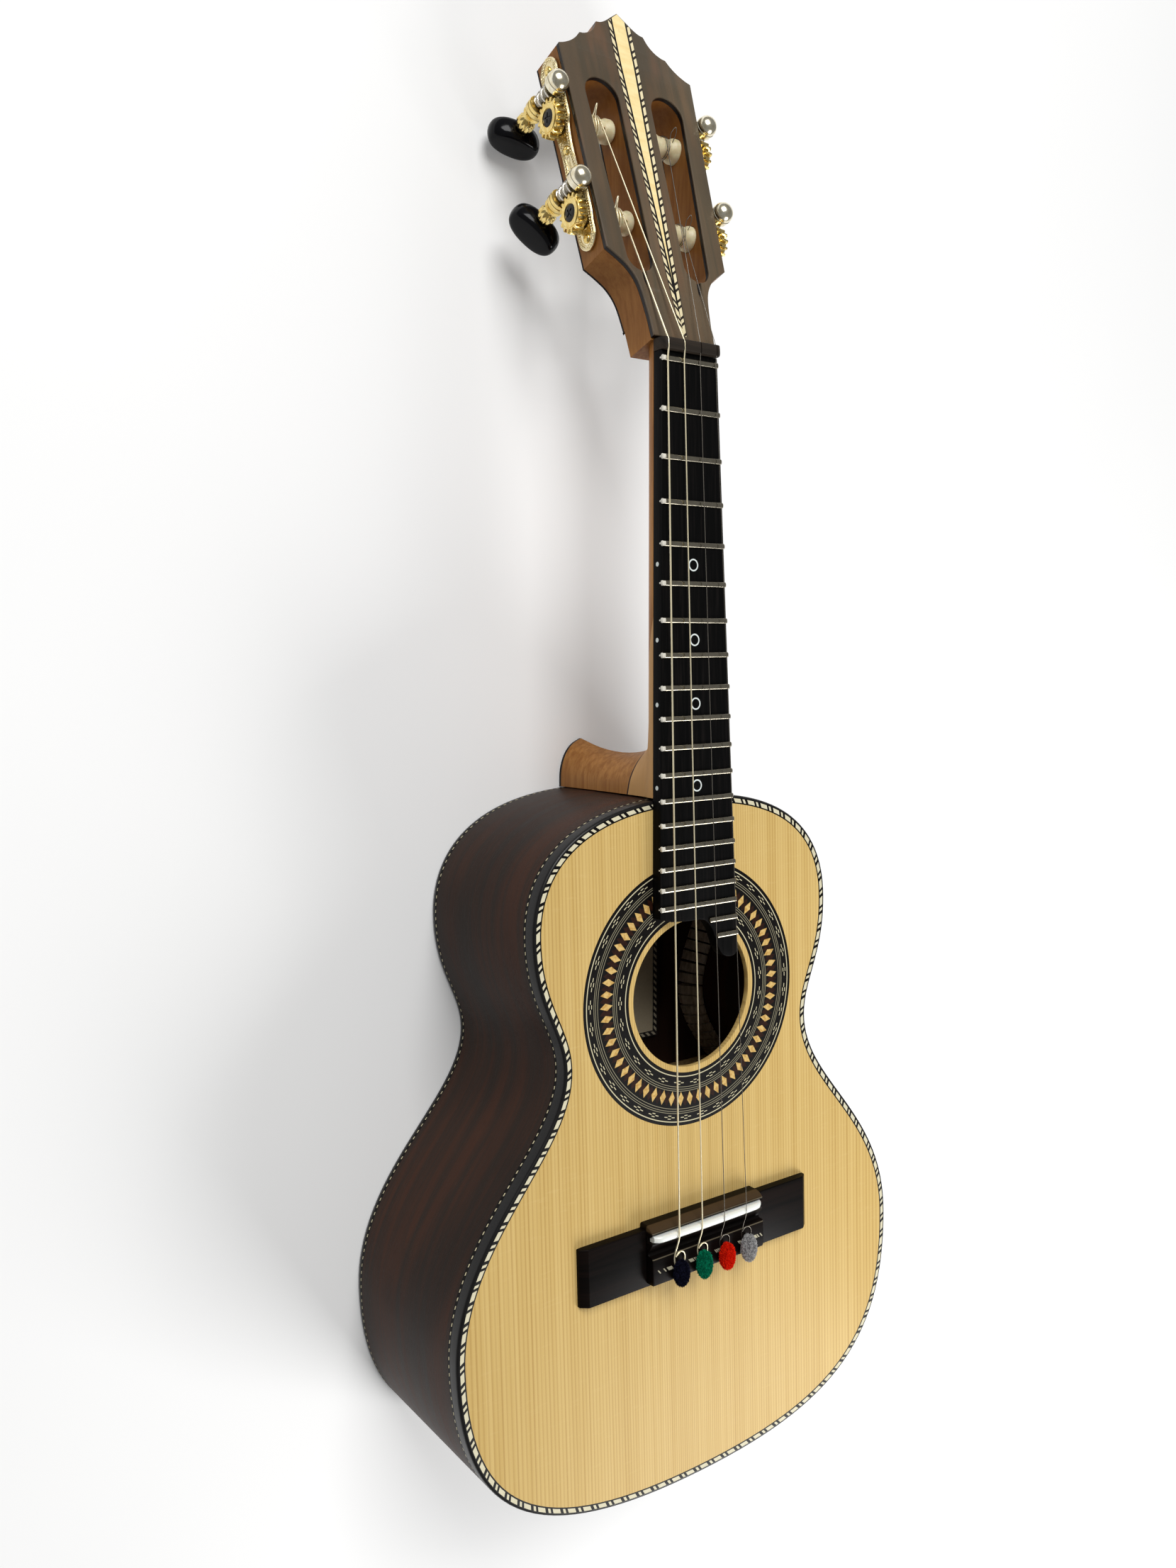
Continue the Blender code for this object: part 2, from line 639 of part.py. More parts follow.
def string_touch(number):
    """Where a string reaches its roller: the point, its direction and its turn angle."""
    side, row = TUNER_OF_STRING[number]
    to_head = machine_place(side) @ roller_place(side, row)
    nut = head_place().inverted() @ Vector((NUT_SPACING * STRING_PLACE[number], NUT_SPAN[1], NUT_STRING_Z))
    near = to_head.inverted() @ nut
    radius = winding_radius(number)
    away = math.atan2(near.y * side, near.x)
    turn = away - math.acos(radius / math.hypot(near.x, near.y))
    touch = Vector((radius * math.cos(turn), side * radius * math.sin(turn), WINDING_START))
    return to_head @ touch, (to_head @ touch - nut).normalized(), turn


def ramp_tools():
    """Round files laid along the strings where they drop from the nut into the slots."""
    shapes = []
    for number in STRING_PLACE:
        touch, direction, _ = string_touch(number)
        aim = direction.to_track_quat("Z", "Y").to_matrix().to_4x4()
        nut_s = -touch.y / direction.y
        start = touch + direction * (nut_s + 12.0)
        rod = lathe([(0.0, 0.0), (RAMP_RADIUS, 0.0), (RAMP_RADIUS, RAMP_LONG), (0.0, RAMP_LONG)], 10)
        shapes.append(moved(rod, Matrix.Translation(start) @ aim))
    return together(shapes)


def roller_bores():
    """Bores through the outer walls of the head and into the bar between the slots."""
    shapes = []
    for side in (1, -1):
        for row in GEAR_T:
            reach = roller_length(row)
            profile = [(0.0, 2.0), (ROLLER_RADIUS + GAP, 2.0), (ROLLER_RADIUS + GAP, -12.0), (2.5, -12.0),
                       (2.5, -reach - 5.4), (0.0, -reach - 5.4)]
            shapes.append(moved(lathe(profile, 16), machine_place(side) @ roller_place(side, row)))
    return together(shapes)


def make_neck(frame, head, surfaces):
    """Shaft, heel and slotted head of one piece of cedar."""
    start, end = NECK_Y + GAP, 347.3
    nut_deep, heel_deep = SHAFT_DEEP
    rings = []
    for share in (0.0, 0.3, 0.65, 1.0):
        y = start + (end - start) * share
        rings.append(shaft_ring(y, heel_deep + (nut_deep - heel_deep) * share))
    neck = add_piece("neck", loft(rings), frame, surfaces["cedar"], 40)
    low = above_back(HEEL_CAP_THICK + GAP)
    heel = loft([heel_ring(rise, low, -4.0) for rise in (0.0, 0.25, 0.5, 0.65, 0.78, 0.9, 1.0)])
    combine(neck, add_piece("heel", heel, frame, surfaces["cedar"]), "UNION")
    front = -PLATE_THICK - GAP
    block = prism(mirrored(HEAD_HALF), front - CORE_THICK, front)
    combine(neck, add_piece("head_block", block, head, surfaces["cedar"]), "UNION")
    add_piece("heel_cap", prism([(x, y) for x, y, _ in heel_ring(0.0, low, -4.0)], back_z,
                                above_back(HEEL_CAP_THICK)), frame, surfaces["ebony"])
    slots = together([prism(slot_outline(side), -20.0, 2.0) for side in (1, -1)])
    slot_tool = add_piece("string_slots", slots, head, surfaces["cedar"])
    ramp_tool = add_piece("string_ramps", ramp_tools(), head, surfaces["cedar"])
    bore_tool = add_piece("roller_bores", roller_bores(), head, surfaces["cedar"])
    for tool in (slot_tool, ramp_tool, bore_tool):
        combine(neck, tool, "DIFFERENCE")
    return slot_tool, ramp_tool


def make_head_facings(head, surfaces, slot_tool, ramp_tool):
    """Rosewood plate with its inlaid stripe on the front, a thin veneer on the rear."""
    half = [(15.2, 4.0)] + HEAD_HALF[1:]
    plate = add_piece("headplate", prism(mirrored(half), -PLATE_THICK, 0.0), head,
                      surfaces["head_rosewood"])
    groove = [(x + GAP, s) for x, s in STRIPE_HALF[:3]] + [(STRIPE_HALF[2][0] + GAP, 152.0)]
    groove[0] = (groove[0][0], groove[0][1] - GAP)
    inlay_deep = 0.8
    groove_tool = add_piece("stripe_groove", prism(mirrored(groove), -inlay_deep - GAP, 2.0), head,
                            surfaces["maple"])
    for tool in (slot_tool, ramp_tool, groove_tool):
        combine(plate, tool, "DIFFERENCE")
    add_piece("head_stripe", prism(mirrored(STRIPE_HALF), -inlay_deep, 0.0), head, surfaces["maple"])
    rear = -PLATE_THICK - GAP - CORE_THICK - GAP
    half = [(16.9, 24.8)] + HEAD_HALF[3:]
    veneer = add_piece("rear_veneer", prism(mirrored(half), rear - VENEER_THICK, rear), head,
                       surfaces["ebony"])
    combine(veneer, slot_tool, "DIFFERENCE")


def plate_fittings(side):
    """Worm bearings with their domes, and the screw heads, in the frame of the plate."""
    dome = [(0.0, -0.4), (JOURNAL + GAP, -0.4), (JOURNAL + GAP, -3.2), (BEARING_RADIUS, -3.2),
            (4.3, -0.6), (4.0, 1.1), (3.0, 2.7), (1.6, 3.5), (0.0, 3.8)]
    collar = [(JOURNAL + GAP, -14.0), (BEARING_RADIUS, -14.0), (BEARING_RADIUS, -18.2), (3.7, -18.5),
              (3.7, -20.2), (JOURNAL + GAP, -20.2)]
    shapes = []
    for row in GEAR_T:
        place = worm_place(side, row)
        shapes.append(moved(lathe(dome, 12), place))
        shapes.append(moved(turned_ring(collar, 12), place))
    outward = Matrix.Rotation(side * math.radians(90.0), 4, "Y")
    for t in SCREW_T:
        screw = lathe([(0.0, PLATE[0] + 0.4), (2.0, PLATE[0] + 0.4), (2.1, PLATE[1] + 0.3),
                       (1.4, PLATE[1] + 1.0), (0.0, PLATE[1] + 1.3)], 8)
        shapes.append(moved(screw, Matrix.Translation((0.0, t, MIDDLE_H)) @ outward))
    return together(shapes)


def make_plate(side, machine, surfaces):
    name = "tuner_plate_right" if side > 0 else "tuner_plate_left"
    outline = [(t, half) for t, half in PLATE_SHAPE] + [(t, -half) for t, half in reversed(PLATE_SHAPE)]
    rings = [[(side * n, t, MIDDLE_H + h) for t, h in outline] for n in PLATE]
    plate = add_piece(name, loft(rings), machine, surfaces["gold"], 35)
    combine(plate, add_piece(name + "_fittings", plate_fittings(side), machine, surfaces["gold"]), "UNION")
    bores = []
    for row in GEAR_T:
        bore = lathe([(0.0, -1.0), (2.6, -1.0), (2.6, 3.0), (0.0, 3.0)], 12)
        bores.append(moved(bore, roller_place(side, row)))
    combine(plate, add_piece(name + "_bores", together(bores), machine, surfaces["gold"]), "DIFFERENCE")


def gear_shape(side):
    """Slanted teeth that fit the worm, between two faces."""
    tip, root = GEAR_RADIUS + 0.7, GEAR_RADIUS - 0.8
    pitch_angle = 2 * math.pi / GEAR_TEETH
    lead = WORM_PITCH / (2 * math.pi * (WORM_OFFSET - GEAR_RADIUS))
    rings = []
    for z in GEAR_SPAN:
        slant = side * (z - WORM_N) * lead / GEAR_RADIUS
        ring = []
        for tooth in range(GEAR_TEETH):
            middle = (tooth + 0.5) * pitch_angle + slant
            for share, radius in ((-0.29, root), (-0.13, tip), (0.13, tip), (0.29, root)):
                a = middle + share * pitch_angle
                ring.append((radius * math.cos(a), radius * math.sin(a), z))
        rings.append(ring)
    return loft(rings)


def make_gear(number, side, axis, surfaces):
    gear = add_piece(f"gear_{number}", gear_shape(side), axis, surfaces["gold"], 30)
    face = GEAR_SPAN[1]
    hub = lathe([(0.0, -2.0), (2.3, -2.0), (2.3, 1.7), (4.6, 1.9), (4.6, face + 0.4),
                 (3.3, face + 0.4), (3.0, face - 0.4), (2.6, face + 0.1), (0.0, face + 0.3)], 12)
    combine(gear, add_piece(f"gear_hub_{number}", hub, axis, surfaces["gold"]), "UNION")


def roller_length(row):
    """From the side of the head to just short of the inner wall of its slot."""
    side_x = MACHINE_X + GEAR_T[row] * math.sin(math.radians(MACHINE_LEAN))
    return side_x - 8.1 - 2 * GAP


def make_roller(number, row, axis, surfaces):
    """A nylon barrel, waisted for the string, on a pin that runs in the middle bar."""
    reach = roller_length(row)
    profile = [(0.0, -2.4), (2.6, -2.4), (2.6, -GAP), (ROLLER_RADIUS, -GAP), (ROLLER_RADIUS, -9.6),
               (ROLLER_WAIST + 0.2, -11.0), (ROLLER_WAIST, -11.8), (ROLLER_WAIST, -18.0),
               (ROLLER_WAIST + 0.6, -19.4), (4.5, -reach + 1.4), (3.8, -reach), (2.2, -reach),
               (2.2, -reach - 5.0), (0.0, -reach - 5.0)]
    roller = add_piece(f"roller_{number}", lathe(profile, 14), axis, surfaces["nylon"], 35)
    eye = lathe([(0.0, -9.0), (0.8, -9.0), (0.8, 9.0), (0.0, 9.0)], 6)
    eye = moved(eye, Matrix.Translation((0.0, 0.0, -17.2)) @ Matrix.Rotation(math.radians(60.0), 4, "Z")
                @ Matrix.Rotation(math.radians(90.0), 4, "Y"))
    combine(roller, add_piece(f"roller_eye_{number}", eye, axis, surfaces["nylon"]), "DIFFERENCE")


def winding_points(number):
    """The turns of a string on its roller, with a straight lead at each end."""
    side, _ = TUNER_OF_STRING[number]
    _, _, turn = string_touch(number)
    radius = winding_radius(number)
    pitch = STRING_DIAMETER[number] + 0.6
    steps = round(24 * WINDING_TURNS)
    points = []
    for k in range(steps + 1):
        a = turn - 2 * math.pi * k / 24
        points.append(Vector((radius * math.cos(a), side * radius * math.sin(a),
                              WINDING_START + pitch * k / 24)))
    to_roller = (machine_place(side) @ roller_place(side, TUNER_OF_STRING[number][1])).inverted()
    direction = (to_roller.to_3x3() @ string_touch(number)[1]).normalized()
    lead = STRING_DIAMETER[number]
    tail = (points[-1] - points[-2]).normalized()
    return [points[0] - direction * lead] + points + [points[-1] + tail * lead]


def least_gap(points, diameter):
    """The least clear space between stretches of a winding more than half a turn apart."""
    gaps = [math.dist(p, q) for i, p in enumerate(points) for q in points[i + 12:]]
    return min(gaps) - diameter


def make_winding(number, axis, surfaces):
    points = winding_points(number)
    diameter = STRING_DIAMETER[number]
    add_tube(f"string_winding_{number}", points, diameter, axis, surfaces["string_wire"], 1)
    print(f"string_winding_{number}: least gap to itself {least_gap(points, diameter):.2f} mm")


def worm_shape(side):
    """One turned shaft: journal, worm, journal, knurled ferrule and the end for the button.

    The worm is a spiral ridge. Each stop of the spiral has four points, root, tip, tip and
    root, and the land between two turns joins a stop to the one a full turn further on.
    """
    steps = 12
    root, tip = WORM_RADII
    total = WORM_TURNS * steps
    points, faces = [], []

    def spot(radius, stop, z):
        a = side * 2 * math.pi * (stop - total / 2) / steps - math.pi / 2
        points.append((radius * math.cos(a), radius * math.sin(a), z))
        return len(points) - 1

    def band(first, second):
        for i in range(steps):
            j = (i + 1) % steps
            faces.append((first[i], first[j], second[j], second[i]))

    spiral = []
    for stop in range(total + 1):
        z = MIDDLE_H + WORM_PITCH * (stop - total / 2) / steps
        crest = tip if 0 < stop < total else root + 0.5
        corners = ((root, -0.30), (crest, -0.12), (crest, 0.12), (root, 0.30))
        spiral.append([spot(radius, stop, z + WORM_PITCH * rise) for radius, rise in corners])
    for stop in range(total):
        here, there = spiral[stop], spiral[stop + 1]
        for i in range(3):
            faces.append((here[i], here[i + 1], there[i + 1], there[i]))
        if stop < total - steps:
            faces.append((here[3], there[3], spiral[stop + steps + 1][0], spiral[stop + steps][0]))
    faces += [tuple(spiral[0]), tuple(spiral[total])]

    low_end, high_end = MIDDLE_H - WORM_HALF_LONG, MIDDLE_H + WORM_HALF_LONG
    low = [spot(root, i, low_end) for i in range(steps)]
    last = steps - 1
    for i in range(last):
        faces.append((low[i], low[i + 1], spiral[i + 1][0], spiral[i][0]))
    faces.append((low[last], low[0], spiral[0][0], spiral[0][3], spiral[steps][0], spiral[last][0]))
    high = [spot(root, i, high_end) for i in range(steps)]
    final = total - steps
    faces.append((spiral[final][3], spiral[final + 1][3], high[1], high[0], spiral[total][3],
                  spiral[total][0]))
    for i in range(1, steps):
        faces.append((spiral[final + i][3], spiral[final + i + 1][3], high[(i + 1) % steps], high[i]))

    tail = [(JOURNAL, low_end - 0.1), (JOURNAL, -20.5), (3.4, -20.6), (3.6, -25.8), (2.7, -27.4),
            (1.5, -27.6), (1.5, -31.0)]
    for radius, z in tail:
        ring = [spot(radius, i, z) for i in range(steps)]
        band(low, ring)
        low = ring
    nose = [spot(JOURNAL, i, high_end + 0.1) for i in range(steps)]
    tip_ring = [spot(JOURNAL, i, -0.7) for i in range(steps)]
    band(high, nose)
    band(nose, tip_ring)
    faces += [tuple(low), tuple(tip_ring)]
    return points, faces


def make_worm(number, side, axis, surfaces):
    add_piece(f"worm_shaft_{number}", worm_shape(side), axis, surfaces["steel"], 35)


def make_button(number, axis, surfaces):
    """A flattened oval button with a socket for the end of the shaft."""
    long, thick, high = BUTTON_SEMI
    steps = 14
    bore = [(1.8, BUTTON_H + high * 0.93), (1.8, -31.4)]
    rings = []
    for turn in (-90.0, -64.0, -38.0, -10.0, 18.0, 45.0, 68.0):
        across = math.cos(math.radians(turn)) ** 0.75 if turn > -90.0 else 0.0
        z = BUTTON_H + high * math.sin(math.radians(turn))
        rings.append([(long * across * x, thick * across * y, z) for x, y in circle(1.0, steps)])
    for radius, z in bore:
        rings.append([(x, y, z) for x, y in circle(radius, steps)])
    button = add_piece(f"tuner_button_{number}", loft(rings), axis, surfaces["black_plastic"], 60)
    button.rotation_euler.z = math.radians(BUTTON_TURN[number])


def string_points(number):
    """The held string: loop on the tie block, saddle, nut and down to the roller."""
    radius = STRING_DIAMETER[number] / 2
    x0, x1 = SADDLE_SPACING * STRING_PLACE[number], NUT_SPACING * STRING_PLACE[number]
    lie = TIE_TOP + GAP + radius
    centre_y = -10.9
    points = []
    for degrees in range(-230, 91, 40):
        a = math.radians(degrees)
        points.append((x0 + LOOP_RADIUS * math.cos(a), centre_y + LOOP_RADIUS * math.sin(a), lie))
    crest = SADDLE_TOP + GAP + radius
    points += [(x0 + 0.15, -6.6, lie + 0.9), (x0, -4.6, crest - 0.25), (x0, -3.0, crest)]
    points.append((x1, SCALE, BOARD_TOP + FRET_HIGH + GAP + STRING_DIAMETER[4] / 2))
    points.append((x1, NUT_SPAN[1], NUT_STRING_Z))
    touch, direction, _ = string_touch(number)
    end = head_place() @ (touch - direction * (STRING_DIAMETER[number] + GAP))
    points.append(tuple(end))
    return points


def make_strings(frame, surfaces):
    for number in STRING_PLACE:
        add_tube(f"string_{number}", string_points(number), STRING_DIAMETER[number], frame,
                 surfaces["string_wire"], 2)


def make_tufts(frame, surfaces):
    """Wool tufts tied behind the string loops."""
    wool = {1: "grey_wool", 2: "red_wool", 3: "green_wool", 4: "navy_wool"}
    wide, long, high = TUFT_SEMI
    for number, place in STRING_PLACE.items():
        rings = []
        for turn in (-90.0, -50.0, -15.0, 20.0, 55.0, 90.0):
            across = math.cos(math.radians(turn)) if abs(turn) < 90.0 else 0.0
            z = high * math.sin(math.radians(turn))
            rings.append([(wide * across * x, long * across * y, z) for x, y in circle(1.0, 10)])
        centre = (SADDLE_SPACING * place + 0.6, -18.7, TIE_TOP + GAP + high)
        add_piece(f"tuft_{number}", moved(loft(rings), Matrix.Translation(centre)), frame,
                  surfaces[wool[number]], 60)


def make_tuners(head, surfaces):
    for side, name in ((1, "machine_right"), (-1, "machine_left")):
        machine = frame_empty(name, head, machine_place(side))
        make_plate(side, machine, surfaces)
        for number, (string_side, row) in TUNER_OF_STRING.items():
            if string_side != side:
                continue
            axis = frame_empty(f"roller_axis_{number}", machine, roller_place(side, row))
            make_gear(number, side, axis, surfaces)
            make_roller(number, row, axis, surfaces)
            make_winding(number, axis, surfaces)
            shaft = frame_empty(f"worm_axis_{number}", machine, worm_place(side, row))
            make_worm(number, side, shaft, surfaces)
            make_button(number, shaft, surfaces)


def rest_place():
    """Tips the maker's frame by the taper and centres the object over its own footprint."""
    tip = Matrix.Rotation(-math.atan(TAPER), 4, "X")
    north = (tip @ head_place() @ Vector((0.0, STRIPE_HALF[-1][1], 0.0))).y
    south = (tip @ Vector((0.0, TAIL_Y, back_z(TAIL_Y) + 0.9))).y
    lift = DEPTH * math.cos(math.atan(TAPER))
    return Matrix.Translation((0.0, -(north + south) / 2, lift)) @ tip


def build():
    clear_scene()
    surfaces = make_finishes()
    frame = frame_empty("rest_frame", None, rest_place())
    head = frame_empty("head_frame", frame, head_place())
    make_soundboard(frame, surfaces)
    make_ribs(frame, surfaces)
    make_back(frame, surfaces)
    make_bindings(frame, surfaces)
    make_blocks(frame, surfaces)
    make_linings(frame, surfaces)
    make_braces(frame, surfaces)
    make_bridge(frame, surfaces)
    make_fretboard(frame, surfaces)
    make_nut(frame, surfaces)
    slot_tool, ramp_tool = make_neck(frame, head, surfaces)
    make_head_facings(head, surfaces, slot_tool, ramp_tool)
    make_tuners(head, surfaces)
    make_strings(frame, surfaces)
    make_tufts(frame, surfaces)


build()
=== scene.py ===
"""The looks of a four-string cavaquinho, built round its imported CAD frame.

Each section is one piece or a group of like pieces, in the order in which a luthier puts the
instrument together. Sizes are millimetres in the maker's frame: y = 0 at the saddle line and
340 at the nut, x to the right, z = 0 on the soundboard.
"""
import math
import random

import bmesh
import bpy
from mathutils import Matrix, Vector


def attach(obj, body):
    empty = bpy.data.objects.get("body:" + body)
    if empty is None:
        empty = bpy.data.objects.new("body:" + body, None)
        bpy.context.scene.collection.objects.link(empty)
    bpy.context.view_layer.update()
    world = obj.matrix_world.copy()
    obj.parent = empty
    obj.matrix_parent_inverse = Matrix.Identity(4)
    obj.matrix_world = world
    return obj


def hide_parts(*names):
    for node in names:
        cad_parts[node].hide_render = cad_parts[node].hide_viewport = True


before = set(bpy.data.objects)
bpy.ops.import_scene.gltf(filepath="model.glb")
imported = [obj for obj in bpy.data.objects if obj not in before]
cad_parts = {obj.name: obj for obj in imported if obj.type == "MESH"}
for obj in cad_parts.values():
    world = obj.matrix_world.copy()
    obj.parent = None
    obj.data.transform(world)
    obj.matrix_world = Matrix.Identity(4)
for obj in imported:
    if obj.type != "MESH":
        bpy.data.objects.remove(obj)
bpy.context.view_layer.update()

# Floor, light and camera
# The instrument lies on its flat back on a pale studio floor. A wide soft light hangs beyond
# its head, a weaker one beyond its tail, and the camera looks down from above its left shoulder.
# The body is DEPTH deep at the saddle and less toward the neck by TAPER. LIE and MIDDLE, in metres,
# lay its back on the floor with the whole instrument centred.
DEPTH, TAPER = 84.0, 0.037
LIE, MIDDLE = 0.0839426, 0.1840407
FLOOR_DROP, FLOOR_REACH = 0.0002, 6.0


def moved(x, y, z):
    return Matrix.Translation((x, y, z))


def turned(degrees, axis):
    return Matrix.Rotation(math.radians(degrees), 4, axis)


MAKER = moved(0.0, -MIDDLE, LIE) @ Matrix.Rotation(-math.atan(TAPER), 4, "X") @ Matrix.Scale(0.001, 4)


def colour(red, green, blue):
    """A colour as it reads on a screen, 0 to 255, turned into the light that Blender mixes."""
    parts = [c / 255 for c in (red, green, blue)]
    return tuple(c / 12.92 if c <= 0.04045 else ((c + 0.055) / 1.055) ** 2.4 for c in parts) + (1.0,)


class Wire:
    """A socket of a finish. Sums, products and comparisons of it add the nodes for them."""

    def __init__(self, finish, socket):
        self.finish, self.socket = finish, socket

    def sum(self, operation, *others):
        return self.finish.sum(operation, self, *others)

    def __add__(self, other):
        return self.sum("ADD", other)

    def __sub__(self, other):
        return self.sum("SUBTRACT", other)

    def __rsub__(self, other):
        return self.finish.sum("SUBTRACT", other, self)

    def __mul__(self, other):
        return self.sum("MULTIPLY", other)

    def __truediv__(self, other):
        return self.sum("DIVIDE", other)

    def __abs__(self):
        return self.sum("ABSOLUTE")

    def __pow__(self, power):
        return self.sum("POWER", power)

    __radd__, __rmul__ = __add__, __mul__

    def fract(self):
        return self.sum("FRACT")

    def clamp(self):
        return self.finish.node("ShaderNodeClamp", {}, {0: self})

    def band(self, centre, half, soft=0.06):
        """1 where the value is within half of the centre, with a soft edge, and 0 elsewhere."""
        return ((half - abs(self - centre)) / soft + 0.5).clamp()

    def mix(self, mask, other):
        """This colour, turned into another as the mask goes from 0 to 1."""
        return self.finish.mix(mask, self, other)

    def rise(self, start, end):
        """Climbs smoothly from 0 at start to 1 at end."""
        return self.finish.node("ShaderNodeMapRange", {"interpolation_type": "SMOOTHSTEP"},
                                {0: self, 1: start, 2: end})


class Finish:
    """A material being made, with its shader and the ways to add nodes to it."""

    def __init__(self, name, **fixed):
        self.material = bpy.data.materials.new(name)
        self.material.use_nodes = True
        self.tree = self.material.node_tree
        self.shader = self.tree.nodes["Principled BSDF"]
        for socket, value in fixed.items():
            self.shader.inputs[socket.replace("_", " ")].default_value = value

    def node(self, kind, settings, values, output=0):
        made = self.tree.nodes.new(kind)
        for name, value in settings.items():
            setattr(made, name, value)
        for name, value in values.items():
            if isinstance(value, Wire):
                self.tree.links.new(value.socket, made.inputs[name])
            else:
                made.inputs[name].default_value = value
        return Wire(self, made.outputs[output])

    def sum(self, operation, *values):
        return self.node("ShaderNodeMath", {"operation": operation}, dict(enumerate(values)))

    def spot(self, place=MAKER):
        """The point of the surface in the millimetres of a frame."""
        back = place.inverted()
        point = self.node("ShaderNodeTexCoord", {}, {}, output=3)
        return self.node("ShaderNodeMapping", {}, {0: point, 1: back.translation,
                                                   2: back.to_euler(), 3: back.to_scale()})

    def axes(self, place=MAKER):
        """That point as its x, y and z."""
        point = self.spot(place)
        return [self.node("ShaderNodeSeparateXYZ", {}, {0: point}, output=i) for i in range(3)]

    def mark(self, name):
        """A number kept on the points of the piece."""
        return self.node("ShaderNodeAttribute", {"attribute_name": name}, {}, output=2)

    def clouds(self, vector, scale, detail=3.0, rough=0.5, twist=0.0):
        """Noise about 0.5; scale is in spots to a millimetre."""
        return self.node("ShaderNodeTexNoise", {},
                         {0: vector, 2: scale, 3: detail, 4: rough, 8: twist})

    def grain(self, x, y, z, *settings):
        """The same noise at a point whose x, y and z are stretched."""
        return self.clouds(self.node("ShaderNodeCombineXYZ", {}, {0: x, 1: y, 2: z}), *settings)

    def dice(self, value):
        """A number from 0 to 1 that belongs to a whole number."""
        return self.node("ShaderNodeTexWhiteNoise", {"noise_dimensions": "1D"}, {1: value})

    def mix(self, mask, first, second):
        return self.node("ShaderNodeMix", {"data_type": "RGBA"},
                         {0: mask, 6: first, 7: second}, output=2)

    def feed(self, socket, wire):
        self.tree.links.new(wire.socket, self.shader.inputs[socket])

    def bump(self, height, depth, strength=1.0):
        """Relief of a given depth in millimetres where height goes from 0 to 1."""
        self.feed("Normal", self.node("ShaderNodeBump", {},
                                      {0: strength, 1: depth * 0.001, "Height": height}))

    def coat(self, tone, rough=None, pores=None, depth=0.0, strength=0.0):
        """Feeds the colour, the roughness where it varies, and the pits of open pores."""
        self.feed("Base Color", tone)
        if rough:
            self.feed("Roughness", rough)
        if pores:
            self.bump(1.0 - pores.rise(0.55, 0.75), depth, strength)


def clouded(name, light, dark, clouds, rough=None, spread=None, **fixed):
    """A finish of two tones in clouds; rough is its roughness in the first, and what the next adds."""
    finish = Finish(name, **fixed)
    cloud = finish.clouds(finish.spot(), *clouds)
    share = cloud.rise(*spread) if spread else cloud
    finish.coat(finish.mix(share, light, dark), rough and rough[0] + rough[1] * cloud)
    return finish


floor_finish = clouded("studio_floor", (0.86, 0.86, 0.86, 1.0), (0.90, 0.90, 0.89, 1.0), (0.004, 2.0),
                       Roughness=0.8, Emission_Color=(1.0, 1.0, 1.0, 1.0), Emission_Strength=0.08)
floor_mesh = bpy.data.meshes.new("studio_floor")
floor_mesh.from_pydata([(FLOOR_REACH * x, FLOOR_REACH * y, -FLOOR_DROP)
                        for x, y in ((-1, -1), (1, -1), (1, 1), (-1, 1))], [], [(0, 1, 2, 3)])
floor_mesh.materials.append(floor_finish.material)
floor = bpy.data.objects.new("studio_floor", floor_mesh)
bpy.context.collection.objects.link(floor)


def soft_light(name, spot, wide, watts):
    """A square soft box that faces the middle of the instrument."""
    lamp = bpy.data.lights.new(name, "AREA")
    lamp.size, lamp.energy = wide, watts
    box = bpy.data.objects.new(name, lamp)
    box.location = spot
    box.rotation_euler = (-Vector(spot)).to_track_quat("-Z", "Y").to_euler()
    bpy.context.collection.objects.link(box)


soft_light("light_beyond_head", (-0.30, 1.25, 1.45), 1.0, 28.0)
soft_light("light_beyond_tail", (0.50, -0.78, 0.62), 0.5, 8.0)
world = bpy.data.worlds.new("studio_air")
world.use_nodes = True
world.node_tree.nodes["Background"].inputs[0].default_value = (1.0, 1.0, 1.0, 1.0)
world.node_tree.nodes["Background"].inputs[1].default_value = 0.24
bpy.context.scene.world = world
bpy.context.scene.view_settings.view_transform = "Standard"

camera = bpy.data.objects.new("camera", bpy.data.cameras.new("camera"))
bpy.context.collection.objects.link(camera)
camera.data.sensor_width, camera.data.lens = 36.0, 28.43
camera.data.shift_x, camera.data.shift_y = 0.0009, -0.0012
tip = MAKER.to_3x3().normalized()
right, down, ahead = (tip @ Vector(axis) for axis in (
    (0.81929461, -0.02407158, 0.57286727), (-0.06608814, -0.99642389, 0.05264772),
    (0.56955132, -0.08099373, -0.81795557)))
camera.matrix_world = Matrix.LocRotScale(
    MAKER @ Vector((-316.73, 217.59, 382.92)),
    Matrix((right, -down, -ahead)).transposed().to_quaternion(), None)
camera.data.clip_start, camera.data.clip_end = 0.02, 30.0
bpy.context.scene.camera = camera

# Sides
# Two thin boards of dark rosewood, bent over a hot iron and parted at the tail and under the
# heel. A narrow rope of light and dark wood is let in under each of the black bindings.
BINDING_TOP, BINDING_BACK = 5.2, 2.2
RIB_THICK = 2.0
EDGE = [[(0.0, -114.6), (77.316, -114.6), (113.7, -93.875), (113.7, -31.7)],
        [(113.7, -31.7), (113.7, 17.212), (63.4, 39.63), (63.4, 70.2)],
        [(63.4, 70.2), (63.4, 85.53), (75.9, 95.75), (75.9, 121.3)],
        [(75.9, 121.3), (75.9, 152.145), (51.612, 171.05), (0.0, 171.05)]]


